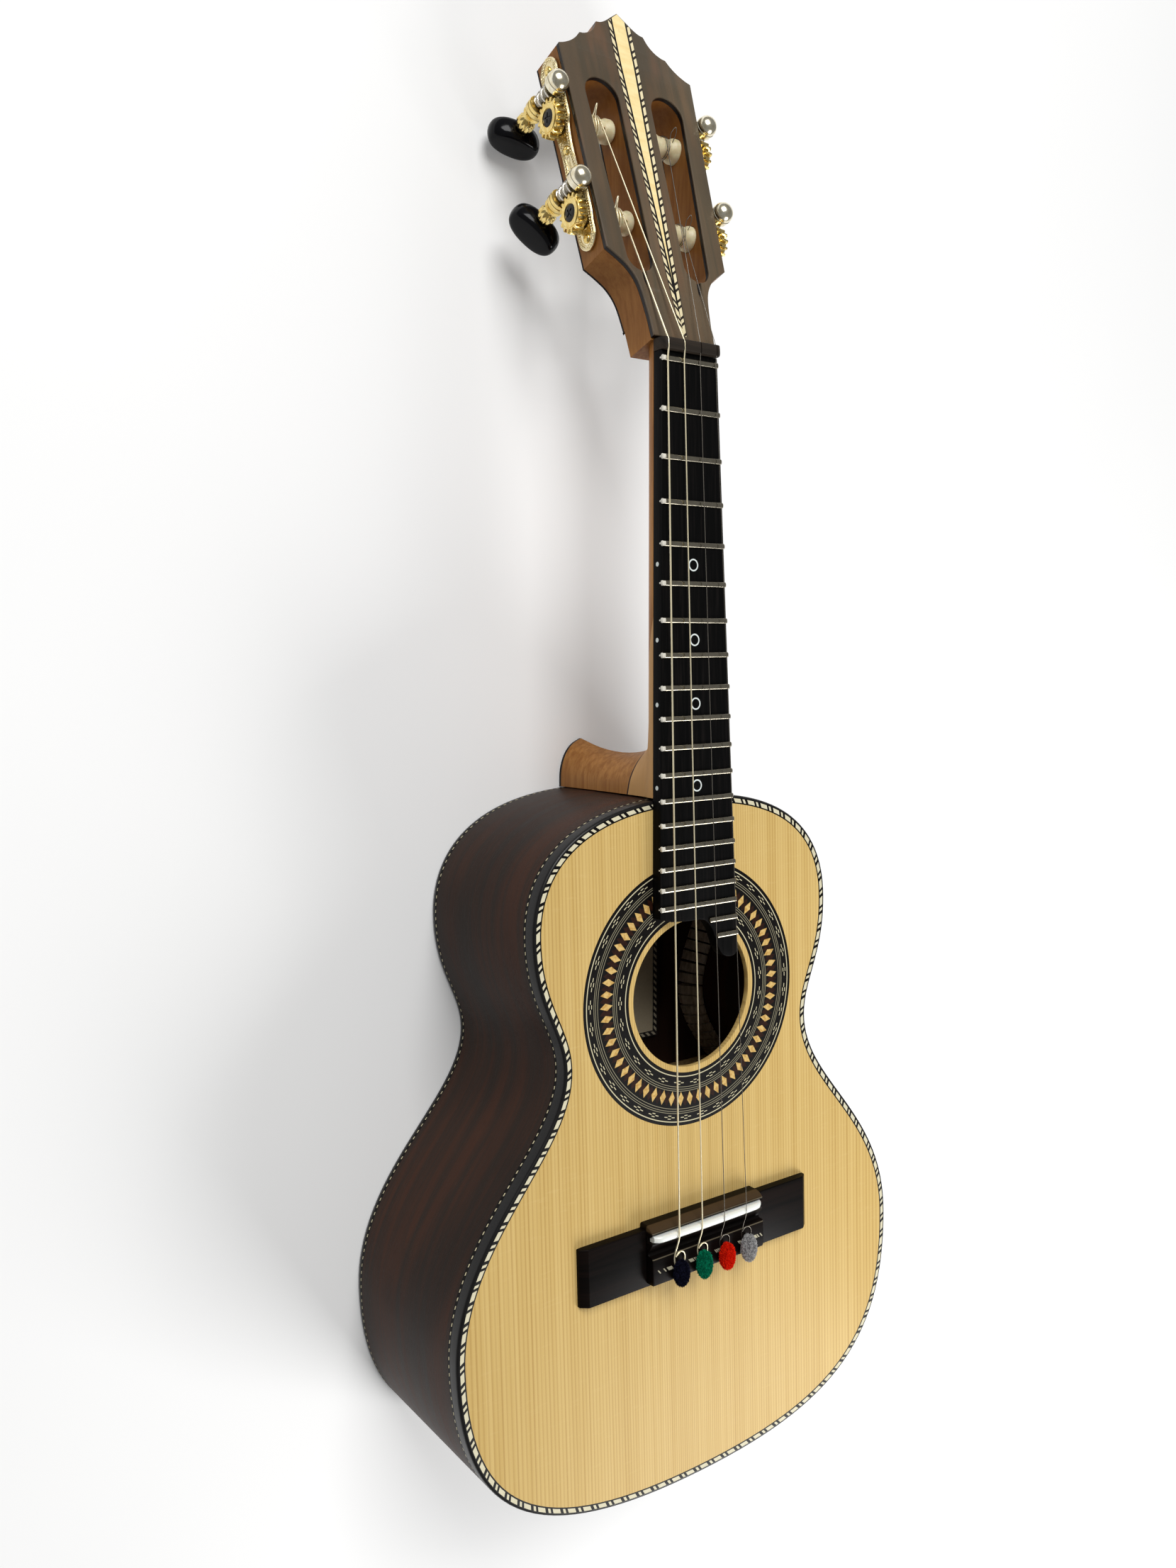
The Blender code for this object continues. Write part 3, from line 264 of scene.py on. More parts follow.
def edge_point(position, inset):
    """A point of the right edge, 0 at the tail and 4 at the neck, moved inward by inset."""
    index = min(int(position), 3)
    t = position - index
    a, b, c, d = [Vector(p) for p in EDGE[index]]
    point = (1 - t) ** 3 * a + 3 * (1 - t) ** 2 * t * b + 3 * (1 - t) * t * t * c + t ** 3 * d
    slope = (1 - t) ** 2 * (b - a) + 2 * (1 - t) * t * (c - b) + t * t * (d - c)
    outward = Vector((slope.y, -slope.x)).normalized()
    x, y = point - outward * inset
    return (0.0 if position in (0.0, 4.0) else x), y


def edge_stops(steps=(30, 34, 22, 30)):
    return [k + i / n for k, n in enumerate(steps) for i in range(n)] + [4.0]


def back_z(y):
    return TAPER * y - DEPTH


def lengths_of(points):
    run = [0.0]
    for p, q in zip(points, points[1:]):
        run.append(run[-1] + math.dist(p, q))
    return run


def skin(rings, capped=True):
    """Joins rings of equally many points; caps close the ends of the row."""
    count = len(rings[0])
    points = [p for ring in rings for p in ring]
    faces = [(k + i, k + (i + 1) % count, k + count + (i + 1) % count, k + count + i)
             for k in range(0, len(points) - count, count) for i in range(count)]
    if capped:
        faces += [tuple(range(count)), tuple(range(len(points) - count, len(points)))]
    return points, faces


def close_up(mesh, smooth=35.0):
    """Merges doubled points, turns the faces outward and softens edges under an angle."""
    work = bmesh.new()
    work.from_mesh(mesh)
    bmesh.ops.remove_doubles(work, verts=work.verts, dist=0.000002)
    bmesh.ops.recalc_face_normals(work, faces=work.faces)
    work.to_mesh(mesh)
    work.free()
    mesh.shade_smooth()
    mesh.set_sharp_from_angle(angle=math.radians(smooth))


def make(name, shape, place, finish, smooth=35.0, **marks):
    """One object from points in millimetres; marks are numbers kept on its points."""
    points, faces = shape
    mesh = bpy.data.meshes.new(name)
    mesh.from_pydata([place @ Vector(p) for p in points], [], faces)
    for mark, values in marks.items():
        mesh.attributes.new(mark, "FLOAT", "POINT").data.foreach_set("value", values)
    close_up(mesh, smooth)
    mesh.materials.append(finish.material)
    piece = bpy.data.objects.new(name, mesh)
    bpy.context.collection.objects.link(piece)
    return piece


def fit(piece, slot, *nodes, body="instrument"):
    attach(piece, body)
    if nodes:
        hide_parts(*nodes)
    return piece


def rosewood_tones(finish, along, across, dark, warm, deep):
    """Grain of a dark wood that runs one way: slow streaks, fine pores and soft clouds."""
    streaks = finish.grain(along * 0.05, across, 0.0, 0.16, 5.0, 0.6, 0.6)
    pores = finish.grain(along * 0.12, across * 2.6, 3.0, 1.3, 2.0, 0.6)
    cloud = finish.grain(along * 0.35, across * 0.6, 7.0, 0.035, 3.0, 0.5)
    tone = finish.mix(streaks.rise(0.36, 0.66), dark, warm)
    tone = tone.mix(cloud.rise(0.42, 0.70) * 0.6, deep)
    tone = tone.mix(pores.rise(0.60, 0.72) * 0.45, deep)
    return tone, streaks, pores


ROPE_PITCH, ROPE_LONG, ROPE_WIDE, ROPE_SLANT = 3.1, 1.25, 0.6, 0.5
sides_finish = Finish("bent_rosewood", Specular_IOR_Level=0.07)
_, spot_y, spot_z = sides_finish.axes()
along = sides_finish.mark("along")
tone, streaks, pores = rosewood_tones(sides_finish, along, spot_z, colour(48, 37, 31),
                                      colour(66, 41, 30), colour(34, 28, 25))
above_back = spot_z - spot_y * TAPER + DEPTH
rope_light = colour(200, 190, 156)
for depth in (spot_z + 6.05, above_back - 3.15):
    tone = tone.mix(depth.band(0.0, 0.9), colour(16, 13, 12))
    step = ((along + depth * ROPE_SLANT) / ROPE_PITCH).fract() * ROPE_PITCH
    dashes = step.band(ROPE_PITCH / 2, ROPE_LONG / 2, 0.12) * depth.band(0.0, ROPE_WIDE / 2, 0.12)
    tone = tone.mix(dashes, rope_light)
sides_finish.coat(tone, 0.36 + 0.16 * streaks, pores, 0.04, 0.6)
for name, side in (("rib_right", 1), ("rib_left", -1)):
    rings, run = [], []
    stops = edge_stops()
    outline = [edge_point(stop, 0.0) for stop in stops]
    for stop, length in zip(stops, lengths_of(outline)):
        (x, y), (xi, yi) = edge_point(stop, 0.0), edge_point(stop, RIB_THICK)
        x, xi = side * max(x, 0.1), side * max(xi, 0.1)
        low, high = back_z(y) + BINDING_BACK, -BINDING_TOP
        rings.append([(x, y, low + (high - low) * k / 6) for k in range(7)]
                     + [(xi, yi, high), (xi, yi, low)])
        run += [length * side] * 9
    fit(make("bent_" + name, skin(rings), MAKER, sides_finish, along=run), "rosewood", name)

# Bindings
# Black strips let into both corners of the body and scraped round with a file. They are glued
# on with tape round the whole outline, the top one about 5 mm high and the back one 2 mm.
binding_finish = clouded("black_binding", colour(9, 9, 10), colour(24, 22, 21), (0.12, 4.0, 0.6),
                         (0.26, 0.16), Specular_IOR_Level=0.28)


def round_body(stops):
    """Stops of the whole outline, clockwise from the neck by the right side and the tail."""
    return [(s, 1) for s in reversed(stops)] + [(s, -1) for s in stops[1:]]


def inner_outline(stops):
    points = [(edge_point(s, RIB_THICK), side) for s, side in stops]
    return [(side * x, y) for (x, y), side in points]


def rim(profile, level, stops):
    """A strip of a given profile of inset and height that runs right round the body."""
    rings, run = [], []
    trail = lengths_of(inner_outline(stops))
    for (s, side), length in zip(stops, trail):
        ring = []
        for inset, high in profile:
            x, y = edge_point(s, inset)
            ring.append((side * x, y, level(y) + high))
        rings.append(ring)
        run += [length] * len(profile)
    return skin(rings), run


around = round_body(edge_stops())
corner = [(0.0, -1.3), (0.1, -0.75), (0.38, -0.32), (0.8, -0.07), (1.25, 0.0), (2.0, 0.0)]
for name, deep, sign, level in (("top_binding", BINDING_TOP, 1, lambda y: 0.0),
                                ("back_binding", BINDING_BACK, -1, back_z)):
    profile = [(0.0, -deep)] + corner + [(RIB_THICK, -deep)]
    shape, _ = rim([(inset, sign * high) for inset, high in profile], level, around)
    fit(make("rounded_" + name, shape, MAKER, binding_finish, 60.0), "ebony", name)

# Soundboard
# Two wedges of quarter-sawn spruce joined on the middle line, so that the fine grain runs
# straight from neck to tail and opens toward the edges. Thin satin lacquer lies over it.
def cut_board(name, outlines, thick, top, place, finish, eased=0.25):
    """A flat board cut to an outline with holes, its edges eased, its face at a height."""
    drawing = bpy.data.curves.new(name, "CURVE")
    drawing.dimensions = "2D"
    drawing.fill_mode = "BOTH"
    for outline in outlines:
        line = drawing.splines.new("POLY")
        line.points.add(len(outline) - 1)
        for spot, (x, y) in zip(line.points, outline):
            spot.co = (x, y, 0.0, 1.0)
        line.use_cyclic_u = True
    drawing.extrude, drawing.bevel_depth, drawing.offset = thick / 2 - eased, eased, -eased
    drawing.bevel_resolution = 2
    holder = bpy.data.objects.new(name, drawing)
    bpy.context.collection.objects.link(holder)
    graph = bpy.context.evaluated_depsgraph_get()
    mesh = bpy.data.meshes.new_from_object(holder.evaluated_get(graph))
    bpy.data.objects.remove(holder)
    mesh.transform(place @ moved(0.0, 0.0, top - thick / 2))
    close_up(mesh)
    mesh.materials.clear()
    mesh.materials.append(finish.material)
    mesh.name = name
    piece = bpy.data.objects.new(name, mesh)
    bpy.context.collection.objects.link(piece)
    return piece


def arc(start, end, steps):
    """Points of a circle of radius 1 from one angle to another, in degrees."""
    angles = [math.radians(start + (end - start) * k / steps) for k in range(steps + 1)]
    return [(math.cos(a), math.sin(a)) for a in angles]


def circle(radius, steps, centre=(0.0, 0.0)):
    return [(centre[0] + radius * x, centre[1] + radius * y) for x, y in arc(0.0, 360.0, steps)[:-1]]


# The rings of the spruce are about a millimetre wide at the joint and grow wider outward.
HOLE_Y, HOLE_RADIUS, TOP_THICK = 90.4, 30.2, 2.5
RING_GROWTH, RING_COUNT = 0.01062, 94.2
spruce_finish = Finish("spruce_top", Specular_IOR_Level=0.08)
x, y, z = spruce_finish.axes()
wander = spruce_finish.grain(x * 0.4, y * 0.03, 0.0, 0.05, 3.0)
from_middle = abs(x + (wander - 0.5) * 3.0)
rings_across = spruce_finish.sum("LOGARITHM", from_middle * RING_GROWTH + 1.0, math.e) * RING_COUNT
place_in_ring = rings_across.fract()
this_ring = spruce_finish.dice(rings_across.sum("FLOOR"))
late_wood = place_in_ring.rise(0.40, 0.84) * (1.0 - place_in_ring.rise(0.90, 1.0))
streak = spruce_finish.grain(x * 1.2, y * 0.012, 5.0, 0.35, 3.0, 0.6)
silk = spruce_finish.grain(x * 0.22, y * 1.2, 9.0, 0.5, 4.0, 0.65)
grain = late_wood * (0.55 + 0.45 * this_ring) * (0.5 + 0.8 * streak)
tone = spruce_finish.mix(streak.rise(0.3, 0.75), colour(213, 183, 117), colour(203, 171, 104))
tone = tone.mix(grain * 0.52, colour(158, 118, 60))
tone = tone.mix(silk.rise(0.54, 0.80) * 0.18, colour(224, 198, 138))
spruce_finish.coat(tone, 0.36 + 0.10 * silk)
spruce_finish.bump(1.0 - grain, 0.006, 0.3)
whole = inner_outline(around[:-1])
hole = circle(HOLE_RADIUS, 128, (0.0, HOLE_Y))
fit(cut_board("spruce_soundboard", [whole, hole], TOP_THICK, 0.0, MAKER, spruce_finish),
    "spruce", "soundboard")

# Rope purfling of the top
# A ribbon of cream blocks, long and short by turns, set aslant between black lines. It is bent
# into a rebate between the binding and the spruce and scraped flush with them.
PURFLING_PITCH = 7.55
purfling_finish = Finish("rope_purfling", Specular_IOR_Level=0.1)
along, across = purfling_finish.mark("along"), purfling_finish.mark("across")
step = ((along - across * 0.7) / PURFLING_PITCH).fract() * PURFLING_PITCH
blocks = step.band(1.85, 1.85, 0.12) + step.band(5.5, 0.6, 0.12)
blocks = blocks * across.band(2.15, 0.80, 0.08)
tint = purfling_finish.clouds(purfling_finish.spot(), 0.5, 3.0)
cream = purfling_finish.mix(tint, colour(222, 216, 190), colour(202, 194, 160))
purfling_finish.coat(purfling_finish.mix(blocks, colour(10, 8, 8), cream), 0.38 + 0.14 * tint)
ribbon = [(1.2, 0.02), (2.35, 0.04), (3.5, 0.02), (3.5, -0.8), (1.2, -0.8)]
shape, run = rim(ribbon, lambda y: 0.0, around)
insets = [inset for _ in around for inset, _ in ribbon]
fit(make("top_purfling", shape, MAKER, purfling_finish, along=run, across=insets),
    "marquetry", "soundboard")

# Rosette
# A ring of marquetry let into the spruce round the sound hole. Veneers are glued into sticks,
# sliced across and set in a circle: dash groups, thin lines and a band of pointed diamonds.
ROSETTE_INNER, ROSETTE_OUTER, ROSETTE_TOP, ROSETTE_LOW = 32.6, 54.3, 0.015, -0.885
DIAMOND_RING, DIAMONDS = 43.4, 57
rosette_finish = Finish("marquetry_rosette", Specular_IOR_Level=0.1)
x, y, z = rosette_finish.axes()
y = y - HOLE_Y
radius = (x * x + y * y) ** 0.5
turn = rosette_finish.sum("ARCTAN2", y, x) * (1 / (2 * math.pi)) + 1.0
black, cream = colour(9, 8, 8), colour(206, 198, 164)
wood = rosette_finish.clouds(rosette_finish.spot(), 0.7, 3.0)
tone = rosette_finish.mix(wood, black, colour(17, 14, 13))
for line, half, share in ((52.75, 0.2, 1.0), (49.3, 0.09, 0.6), (48.5, 0.09, 0.6), (47.5, 0.09, 0.6),
                          (40.2, 0.09, 0.6), (39.4, 0.09, 0.6), (38.5, 0.09, 0.6), (34.2, 0.2, 1.0)):
    tone = tone.mix(radius.band(line, half, 0.1) * share, cream)
for count, shift, centre, reach, long in ((37, 0.20, 51.0, 0.6, 1.9), (27, 0.30, 36.8, 0.6, 1.8)):
    width = 2 * math.pi * centre / count
    aside = ((turn * count - shift + 0.5).fract() - 0.5) * width
    outer_pair = radius.band(centre - reach, 0.17) + radius.band(centre + reach, 0.17)
    dashes = outer_pair * aside.band(0.0, long * 0.42)
    dashes = dashes + radius.band(centre, 0.17) * abs(aside).band(long, long * 0.42)
    tone = tone.mix(dashes.clamp(), cream)
width = 2 * math.pi * DIAMOND_RING / DIAMONDS
up = radius - DIAMOND_RING
for shift, half_wide, half_tall, shade, deep in (
        (0.72, 1.9, 3.3, colour(46, 24, 15), colour(30, 14, 9)),
        (0.22, 1.55, 3.15, colour(216, 184, 116), colour(184, 140, 70))):
    aside = ((turn * DIAMONDS - shift + 0.5).fract() - 0.5) * width
    slid, raised = aside - up * 0.12, up + aside * 0.3
    diamond = ((1.0 - abs(slid) / half_wide - abs(raised) / half_tall) * 8.0 + 0.3).clamp()
    tone = tone.mix(diamond, rosette_finish.mix(wood.rise(0.35, 0.75), shade, deep))
rosette_finish.coat(tone, 0.36 + 0.12 * wood)
profile = [(ROSETTE_INNER, ROSETTE_TOP), ((ROSETTE_INNER + ROSETTE_OUTER) / 2, ROSETTE_TOP),
           (ROSETTE_OUTER, ROSETTE_TOP), (ROSETTE_OUTER, ROSETTE_LOW), (ROSETTE_INNER, ROSETTE_LOW)]
rings = [[(r * x, HOLE_Y + r * y, z) for r, z in profile] for x, y in arc(0.0, 360.0, 144)]
fit(make("inlaid_rosette", skin(rings, capped=False), MAKER, rosette_finish), "marquetry", "rosette")

# Back
# Two bookmatched boards of the same rosewood, joined on the middle line with a light inlaid
# line, planed flat and glued on last, which closes the box.
def on_back(outline, low, high):
    """A flat slab that follows the slope of the back."""
    return skin([[(x, y, back_z(y) + rise) for x, y in outline] for rise in (low, high)])


back_finish = Finish("bookmatched_rosewood", Specular_IOR_Level=0.2)
x, y, _ = back_finish.axes()
tone, streaks, pores = rosewood_tones(back_finish, y, abs(x) + 2.0, colour(40, 28, 23), colour(66, 42, 30),
                                      colour(26, 20, 18))
tone = tone.mix(x.band(0.0, 0.5), colour(190, 160, 110))
back_finish.coat(tone, 0.36 + 0.16 * streaks, pores, 0.04, 0.6)
fit(make("joined_back", on_back(whole, 0.0, 3.0), MAKER, back_finish), "rosewood", "back_plate")

# Blocks, linings and braces inside the box
# Plain cedar and spruce glued inside: blocks at neck and tail, braces under top and back, and
# linings that widen the glue joints. Those of the back are kerfed, sawn part through to bend.
def plain_wood(name, light, dark):
    finish = Finish(name, Roughness=0.6)
    x, y, z = finish.axes()
    grain = finish.grain(x * 1.2, y * 0.15, z * 1.2, 0.5, 4.0, 0.6)
    finish.coat(finish.mix(grain.rise(0.35, 0.65), light, dark))
    finish.bump(grain, 0.05, 0.4)
    return finish


for finish, nodes in (
        (plain_wood("block_cedar", colour(168, 112, 70), colour(134, 84, 50)),
         ("neck_block", "tail_block", "top_lining_left", "top_lining_right")),
        (plain_wood("brace_spruce", colour(206, 176, 120), colour(180, 146, 92)),
         ("back_brace_lower", "back_brace_middle", "back_brace_upper", "top_brace_lower",
          "top_brace_upper", "bridge_patch", "back_centre_strip"))):
    for node in nodes:
        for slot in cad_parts[node].material_slots:
            slot.material = finish.material


def open_tree(name, result, **inputs):
    """A geometry tree with named inputs: itself, its first node and the one that gathers copies."""
    tree = bpy.data.node_groups.new(name, "GeometryNodeTree")
    for socket, kind in inputs.items():
        tree.interface.new_socket(socket, in_out="INPUT", socket_type="NodeSocket" + kind)
    tree.interface.new_socket(result, in_out="OUTPUT", socket_type="NodeSocketGeometry")
    start, end = tree.nodes.new("NodeGroupInput"), tree.nodes.new("NodeGroupOutput")
    whole = tree.nodes.new("GeometryNodeRealizeInstances")
    coated = tree.nodes.new("GeometryNodeSetMaterial")
    join(tree, (whole, 0, coated, 0), (start, "Finish", coated, "Material"), (coated, 0, end, 0))
    return tree, start, whole


def join(tree, *wires):
    """Each wire is a node, its output, and the node and input that it leads to."""
    for giver, output, taker, entry in wires:
        tree.links.new(giver.outputs[output], taker.inputs[entry])


def copies_tree():
    """Geometry nodes that set a copy of one unit on each point, turned and sized as it says."""
    tree, start, whole = open_tree("set_copies", "Copies", Points="Geometry", Unit="Object",
                                   Size="Float", Finish="Material")
    unit, spread, turn, size, euler, scaled = (tree.nodes.new(kind) for kind in (
        "GeometryNodeObjectInfo", "GeometryNodeInstanceOnPoints", "GeometryNodeInputNamedAttribute",
        "GeometryNodeInputNamedAttribute", "FunctionNodeEulerToRotation", "ShaderNodeVectorMath"))
    for reader, mark in ((turn, "turn"), (size, "size")):
        reader.data_type = "FLOAT_VECTOR"
        reader.inputs["Name"].default_value = mark
    scaled.operation = "SCALE"
    join(tree, (start, "Points", spread, "Points"), (start, "Unit", unit, "Object"),
         (unit, "Geometry", spread, "Instance"), (turn, "Attribute", euler, 0),
         (euler, 0, spread, "Rotation"), (size, "Attribute", scaled, 0),
         (start, "Size", scaled, "Scale"), (scaled, 0, spread, "Scale"), (spread, 0, whole, 0))
    return tree


COPIES = copies_tree()


def run_tree(holder, tree, **inputs):
    """Runs a tree on an object and keeps the result as its plain mesh."""
    grown = holder.modifiers.new("grown", "NODES")
    grown.node_group = tree
    for item in tree.interface.items_tree:
        if item.in_out == "INPUT" and item.name in inputs:
            grown[item.identifier] = inputs[item.name]
    graph = bpy.context.evaluated_depsgraph_get()
    mesh = bpy.data.meshes.new_from_object(holder.evaluated_get(graph))
    holder.modifiers.clear()
    holder.data = mesh
    mesh.name = holder.name
    return holder


def set_copies(name, unit, places, finish, size=1.0):
    """Copies of a unit drawn in millimetres, one on each place; the unit is used up."""
    mesh = bpy.data.meshes.new(name)
    mesh.from_pydata([place.translation for place in places], [], [])
    for mark, values in (("turn", [tuple(p.to_euler()) for p in places]),
                         ("size", [tuple(p.to_scale()) for p in places])):
        mesh.attributes.new(mark, "FLOAT_VECTOR", "POINT").data.foreach_set(
            "vector", [number for value in values for number in value])
    holder = bpy.data.objects.new(name, mesh)
    bpy.context.collection.objects.link(holder)
    run_tree(holder, COPIES, Unit=unit, Size=size, Finish=finish.material)
    bpy.data.objects.remove(unit)
    return holder


PLAIN = Matrix.Identity(4)
KERF_PITCH, KERF_GAP = 5.2, 0.9
kerf_wood = plain_wood("kerfed_cedar", colour(196, 184, 168), colour(160, 146, 128))
for name, side in (("back_lining_right", 1), ("back_lining_left", -1)):
    fine = [s for s in edge_stops((200, 200, 120, 160)) if edge_point(s, 8.0)[0] > 30.6]
    trail = lengths_of([edge_point(s, 5.0) for s in fine])
    count = round(trail[-1] / KERF_PITCH)
    places = []
    for k in range(count):
        wanted = trail[-1] * (k + 0.5) / count
        s = fine[min(range(len(fine)), key=lambda i: abs(trail[i] - wanted))]
        (x, y), (xi, yi) = edge_point(s, 2.6), edge_point(s, 8.0)
        inward = Vector((side * (xi - x), yi - y, 0.0)).normalized()
        rows = Matrix((inward, Vector((0, 0, 1)).cross(inward), (0, 0, 1))).transposed().to_4x4()
        places.append(MAKER @ moved(side * x, y, back_z(y) + 3.3) @ rows)
    half = trail[-1] / count / 2 - KERF_GAP / 2
    wedge = [(0.0, 0.0), (5.4, 0.0), (5.4, 2.2), (2.2, 10.8), (0.8, 12.0), (0.0, 12.0)]
    block = skin([[(x, along, z) for x, z in wedge] for along in (-half, half)])
    unit = make("kerf_block", block, PLAIN, kerf_wood, 30.0)
    fit(set_copies("kerfed_" + name, unit, places, kerf_wood), "cedar", name)

# Label inside the box
# A dark paper label with a light rope border printed round it, pasted to the inside of the
# back, where it shows through the sound hole. It carries no words.
label_finish = Finish("label_paper", Roughness=0.75)
x, y, _ = label_finish.axes()
fibre = label_finish.clouds(label_finish.spot(), 0.8, 4.0)
tone = label_finish.mix(fibre, colour(214, 200, 172), colour(196, 180, 148))
border = (39.0 - abs(x - 2.0)).sum("MINIMUM", 28.0 - abs(y - 76.0))
tone = tone.mix(border.sum("LESS_THAN", 2.8), colour(34, 28, 24))
dashes = ((x + y) / 3.2).fract().band(0.5, 0.24, 0.08)
tone = tone.mix(border.band(1.4, 0.85, 0.1) * dashes, colour(190, 180, 156))
label_finish.coat(tone)
paper = on_back([(-37, 48), (41, 48), (41, 104), (-37, 104)], 3.05, 5.5)
fit(make("paper_label", paper, MAKER, label_finish), "spruce")

# Bridge
# Carved from one piece of dark rosewood: thin wings with bevelled ends, and between them a
# block with a rounded lip, a slot for the saddle, a trough and a tie block for the strings.
PATTERN_Y = -16.3
bridge_finish = Finish("bridge_rosewood", Specular_IOR_Level=0.05)
x, y, z = bridge_finish.axes()
tone, streaks, pores = rosewood_tones(bridge_finish, x, y, colour(11, 9, 8), colour(24, 16, 13),
                                      colour(8, 7, 7))
# Painted light: the front face of the lip, which faces the light beyond the head, is painted a lighter brown
# than the black top.
tone = tone.mix(y.rise(-0.7, 0.4) * z.rise(4.0, 4.6), colour(72, 57, 40))
# Painted highlight: thin pale lines along the crest of the lip and along the front top edge of the tie block.
painted_ridge_highlight = (y.band(-0.35, 0.2, 0.2) + y.band(-10.8, 0.2, 0.2)) * z.rise(7.7, 8.0)
tone = tone.mix(painted_ridge_highlight * 0.6, colour(118, 108, 88))
in_tie = y.band(PATTERN_Y, 0.75, 0.1) * z.rise(8.0, 8.2)
slant = x + (y - PATTERN_Y) * 0.8
pattern = sum((slant.band(centre, half, 0.12) for centre, half in (
    (-26.4, 0.3), (-23.6, 0.3), (-20.9, 1.3), (-9.9, 1.1), (-8.0, 0.25), (-7.2, 0.25), (3.0, 0.25),
    (3.8, 0.25), (5.4, 1.1), (16.4, 1.0), (18.0, 0.25), (18.8, 0.25), (24.5, 1.1), (26.3, 0.3),
    (28.0, 0.3))), 0.0)
tone = tone.mix(in_tie * pattern.clamp(), colour(178, 172, 148))
bridge_finish.coat(tone, 0.26 + 0.2 * streaks, pores, 0.012, 0.3)
WING_BACK, WING_FRONT, WING_ROUND = -23.5, -0.1, 0.5
half_wing = []
for x, high, tuck in ((57.0, 3.8, 0.0), (57.4, 3.65, 0.0), (60.1, 1.6, 0.1), (60.3, 1.2, 0.3)):
    low, far = WING_BACK + tuck, WING_FRONT - tuck
    edge = [(low + WING_ROUND * (1 - a), high - WING_ROUND * (1 - b)) for a, b in arc(0.0, 90.0, 4)]
    edge = [(low, 0.0)] + edge + [(far + low - y, z) for y, z in reversed(edge)] + [(far, 0.0)]
    half_wing.append([(x, y, z) for y, z in edge])
wing = [[(-x, y, z) for x, y, z in ring] for ring in reversed(half_wing)] + half_wing
fit(make("bridge_wings", skin(wing), MAKER, bridge_finish, 28.0), "rosewood", "bridge")


def flow(points, steps):
    """A smooth line through points: a Catmull-Rom spline with so many steps to a stretch."""
    rows = [Vector(p) for p in points]
    rows = [rows[0] * 2 - rows[1]] + rows + [rows[-1] * 2 - rows[-2]]
    line = []
    for a, b, c, d in zip(rows, rows[1:], rows[2:], rows[3:]):
        for k in range(steps):
            t = k / steps
            line.append(tuple(0.5 * (2 * b + (c - a) * t + (2 * a - 5 * b + 4 * c - d) * t * t
                                     + (3 * b - a - 3 * c + d) * t ** 3)))
    return line + [tuple(rows[-2])]


lip = flow([(2.0, 3.4), (1.9, 4.6), (1.45, 6.0), (0.7, 7.25), (0.1, 7.9), (-0.3, 8.15), (-0.75, 8.1),
            (-1.2, 7.75), (-1.5, 7.1)], 3)
trough = flow([(-4.5, 7.9), (-5.2, 7.8), (-6.4, 7.1), (-7.6, 6.1), (-8.6, 5.4), (-9.5, 5.4),
               (-10.1, 5.9)], 3)
tie = [(-10.25, 7.7), (-10.5, 8.15), (-11.0, 8.3), (-20.7, 8.3), (-21.4, 8.15), (-21.8, 7.6),
       (-22.0, 6.5), (-22.0, 0.2)]
side_view = [(2.0, 0.2)] + lip + [(-1.5, 5.0), (-4.5, 5.0)] + trough + tie
middle = Vector((-10.0, 4.0))
block = []
for x, share in ((-29.5, 0.93), (-29.35, 0.97), (-28.9, 1.0), (28.9, 1.0), (29.35, 0.97), (29.5, 0.93)):
    block.append([(x, *(middle + (Vector(p) - middle) * share)) for p in side_view])
fit(make("bridge_block", skin(block), MAKER, bridge_finish, 30.0), "rosewood", "bridge")

# Saddle
# A bleached bone bar, rounded on top and filed down at its ends. It stands in the slot of the
# bridge, held there by the strings alone.
SADDLE_HALF, SADDLE_HIGH = 28.4, 10.5
bone_finish = Finish("saddle_bone", Coat_Weight=0.4, Coat_Roughness=0.12, Subsurface_Weight=0.1)
x, y, z = bone_finish.axes()
grain = bone_finish.grain(x * 0.2, y * 1.5, z * 1.5, 0.8, 3.0)
bone_finish.coat(bone_finish.mix(grain, colour(255, 254, 248), colour(253, 249, 238)), 0.22 + 0.12 * grain)
rings = []
for k in range(33):
    x = SADDLE_HALF * (k / 16 - 1)
    drop = max(abs(x) - 25.4, 0.0)
    high = SADDLE_HIGH - 0.6 * (x / SADDLE_HALF) ** 2 - 0.28 * drop ** 1.7
    crown = [(x, -3.0 + 1.35 * a, high - 1.1 + 1.1 * b) for a, b in arc(0.0, 180.0, 10)]
    rings.append([(x, -1.65, 5.2)] + crown + [(x, -4.35, 5.2)])
fit(make("bone_saddle", skin(rings), MAKER, bone_finish, 50.0), "bone", "saddle")

# Neck, heel and head
# Sawn from one plank of cedar, with the heel stacked below the shaft, and shaped by hand with
# spokeshave and files. Two slots are cut through the head for the strings and their rollers.
SCALE, NUT_BACK, JOINT_Y = 340.0, 347.8, 171.2
HEAD = MAKER @ moved(0.0, 345.0, 3.3) @ turned(-16.0, "X")
HEAD_HALF, HEAD_SPLAY, MACHINE_S, MACHINE_H = 31.35, 2.25, 83.0, -8.7
UPPER_ROW, LOWER_ROW = 14.0, -26.4
WAIST_RADIUS, WAIST_Z = 4.46, -15.2
ROLLER_STOP, PIN_LONG, BORE_LONG = 8.7, 5.0, 5.4
AT_BRIDGE, AT_NUT = 12.0, 8.0
STRING_X = {1: 1.5, 2: 0.5, 3: -0.5, 4: -1.5}
STRING_THICK = {1: 0.28, 2: 0.33, 3: 0.58, 4: 0.71}
STRING_ROW = {1: (1, LOWER_ROW), 2: (1, UPPER_ROW), 3: (-1, UPPER_ROW), 4: (-1, LOWER_ROW)}


def machine(side):
    """The side of the head: x square to it and y along it."""
    return HEAD @ moved(side * HEAD_HALF, MACHINE_S, 0.0) @ turned(-side * HEAD_SPLAY, "Z")


